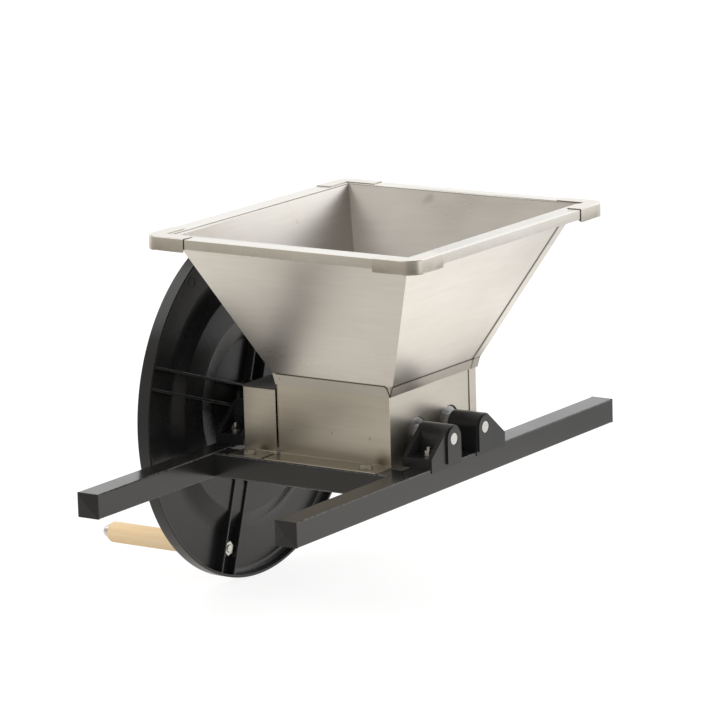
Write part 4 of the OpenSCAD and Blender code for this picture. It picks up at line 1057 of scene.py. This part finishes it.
THREAD_TREE = build_thread_tree()
FOOT_X, FOOT_Y, NUT_TOP = 140.0, 62.0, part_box("block_nuts")[1][2] / MM
FOOT_BOLTS = [(side * FOOT_X, end * FOOT_Y, NUT_TOP + 0.2) for side in (-1, 1) for end in (-1, 1)]
threads("foot_threads", "block_bolts", FOOT_BOLTS, 3.0, 1.0, 3.0, (0, 0, 0))
crank_z = SHAFT_Z - CRANK_RADIUS * math.cos(CRANK_TURN)
crank_y = WHEEL_Y + CRANK_RADIUS * math.sin(CRANK_TURN)
inner_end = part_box("crank_nuts")[1][0] / MM
threads("crank_threads", "crank_bolt", [(inner_end + 0.1, crank_y, crank_z)], 5.0, 1.5, 1.0, (0, math.pi / 2, 0))

# %% [markdown]
# ## Floor and light
# The picture is a cut-out on white. A plain pale floor and big soft lamps stand in for the studio. To the
# camera the floor and the world are white by their own colour, and the floor keeps a soft shadow. The steel
# also needs something to reflect, so its mirrored rays see other colours. The floor is warm and dim in front
# of the crusher, bright just behind it, greyer further back, and nearly black at the front right.

# %% Floor
FLOOR_Z, FLOOR_HALF = CAD_BOX[0][2], 8
GLOW_SEEN, GLOW_MIRRORED, GLOW_BOUNCED = 0.85, 0.80, 0.5
WHITE, FRONT_FLOOR, DARK_CORNER = (1, 1, 1, 1), (0.33, 0.297, 0.243, 1), (0.08, 0.075, 0.065, 1)
# Bands of the floor from front to rear: where one begins, where it is full, and its colour
FLOOR_BANDS = [
    (-0.9, 0.4, (1.05, 1.015, 0.955, 1)),
    (0.45, 1.0, (0.64, 0.64, 0.645, 1)),
    (1.3, 1.9, (0.84, 0.835, 0.825, 1)),
]
corners = [(x * FLOOR_HALF, y * FLOOR_HALF, FLOOR_Z) for x, y in ((-1, -1), (1, -1), (1, 1), (-1, 1))]
floor_mesh = bpy.data.meshes.new("floor")
floor_mesh.from_pydata(corners, [], [(0, 1, 2, 3)])
floor = in_scene("floor", floor_mesh)
floor_paint, tree, shader, where = new_material("floor_paint", (0.22, 0.22, 0.22), 0.0, 0.9)
rays = add(tree, "ShaderNodeLightPath").outputs
place = split(tree, where)
seen = FRONT_FLOOR
for begin, full, colour in FLOOR_BANDS:
    seen = mixed(tree, ranged(tree, place["Y"], begin, full, 0, 1, True), seen, colour)
front_right = maths(
    tree, "MULTIPLY", ranged(tree, place["X"], 0.2, 0.9), ranged(tree, place["Y"], -0.1, -0.7))
seen = mixed(tree, front_right, seen, DARK_CORNER)
join(tree, mixed(tree, rays["Is Camera Ray"], seen, WHITE), shader.inputs["Emission Color"])
near = maths(
    tree, "MULTIPLY", ranged(tree, place["Y"], -1.6, -1.3), ranged(tree, place["Y"], 0.0, 0.2, 1, 0))
across = maths(tree, "MULTIPLY", near, ranged(tree, place["X"], -0.45, -0.05, 0.15, -0.12))
mirrored = maths(
    tree, "MULTIPLY", ranged(tree, rays["Is Glossy Ray"], 0, 1, 0, GLOW_MIRRORED),
    maths(tree, "ADD", across, 1.0))
glow = maths(tree, "ADD", ranged(tree, rays["Is Camera Ray"], 0, 1, 0, GLOW_SEEN), mirrored)
# To diffuse rays the floor glows too, as painted bounce light on the crusher from below
glow = maths(tree, "ADD", glow, ranged(tree, rays["Is Diffuse Ray"], 0, 1, 0, GLOW_BOUNCED))
join(tree, glow, shader.inputs["Emission Strength"])
shader.inputs["Specular IOR Level"].default_value = 0.1
floor_mesh.materials.append(floor_paint)
print("floor at", round(FLOOR_Z, 4), "m, with", len(FLOOR_BANDS), "bands")

# %% [markdown]
# The world is dim and warm in front, bright behind and dark overhead, a little lighter over the left side.
# Two soft boxes hang in the dark. Each is a direction, how near to it its edge and its full light begin, and
# a colour.

# %% World
FRONT_WALL, REAR_WALL = (0.50, 0.47, 0.42, 1), (1.2, 1.2, 1.2, 1)
OVERHEAD, LEFT_CEILING, ROOM = (0.12, 0.115, 0.11, 1), (0.40, 0.39, 0.37, 1), (1.0, 0.99, 0.97, 1)
SOFT_BOXES = [
    ((-0.05, 0.8, 0.6), 0.91, 0.98, (1.7, 1.7, 1.69, 1)),
    ((-0.56, -0.2, 0.8), 0.88, 0.98, (1.9, 1.88, 1.84, 1)),
]
world = bpy.data.worlds.new("studio")
scene.world = world
world.use_nodes = True
tree = world.node_tree
sky = tree.nodes["Background"]
direction = add(tree, "ShaderNodeTexCoord").outputs["Generated"]
parts = split(tree, direction)
shade = mixed(tree, ranged(tree, parts["Y"], -0.45, 0.45, 0, 1, True), FRONT_WALL, REAR_WALL)
shade = mixed(tree, ranged(tree, parts["Z"], 0.35, 0.7, 0, 1, True), shade, OVERHEAD)
ceiling = maths(
    tree, "MULTIPLY", ranged(tree, parts["Z"], 0.55, 0.85), ranged(tree, parts["X"], 0.35, 0.05))
shade = mixed(tree, ceiling, shade, LEFT_CEILING)
for aim, rim_at, full_at, colour in SOFT_BOXES:
    near = add(tree, "ShaderNodeVectorMath", operation="DOT_PRODUCT")
    join(tree, direction, near.inputs[0])
    near.inputs[1].default_value = Vector(aim).normalized()
    shade = mixed(tree, ranged(tree, near.outputs["Value"], rim_at, full_at, 0, 1, True), shade, colour)
rays = add(tree, "ShaderNodeLightPath").outputs
shade = mixed(tree, rays["Is Diffuse Ray"], shade, ROOM)
join(tree, mixed(tree, rays["Is Camera Ray"], shade, WHITE), sky.inputs["Color"])
sky.inputs["Strength"].default_value = 1.0
print("world:", world.name, "with", len(SOFT_BOXES), "soft boxes")

# %% [markdown]
# Two large lamps light the crusher: one above, a little in front, and one on the right. Nothing mirrors them,
# because the world's soft boxes do that work.

# %% Lamps
def lamp(name, at, target, size, power):
    data = bpy.data.lights.new(name, "AREA")
    data.shape = "RECTANGLE"
    data.size, data.size_y = size
    data.energy = power
    light = in_scene(name, data)
    light.location = at
    light.rotation_mode = "QUATERNION"
    light.rotation_quaternion = (Vector(target) - Vector(at)).to_track_quat("-Z", "Y")
    light.visible_glossy = False
    print(name, power, "watts")


lamp("top_box", (0.2, -0.4, 3.0), (0, 0, 0.15), (2.4, 2.4), 22)
lamp("side_box", (3.2, 0.4, 1.2), (0, 0, 0.1), (1.8, 2.2), 32)
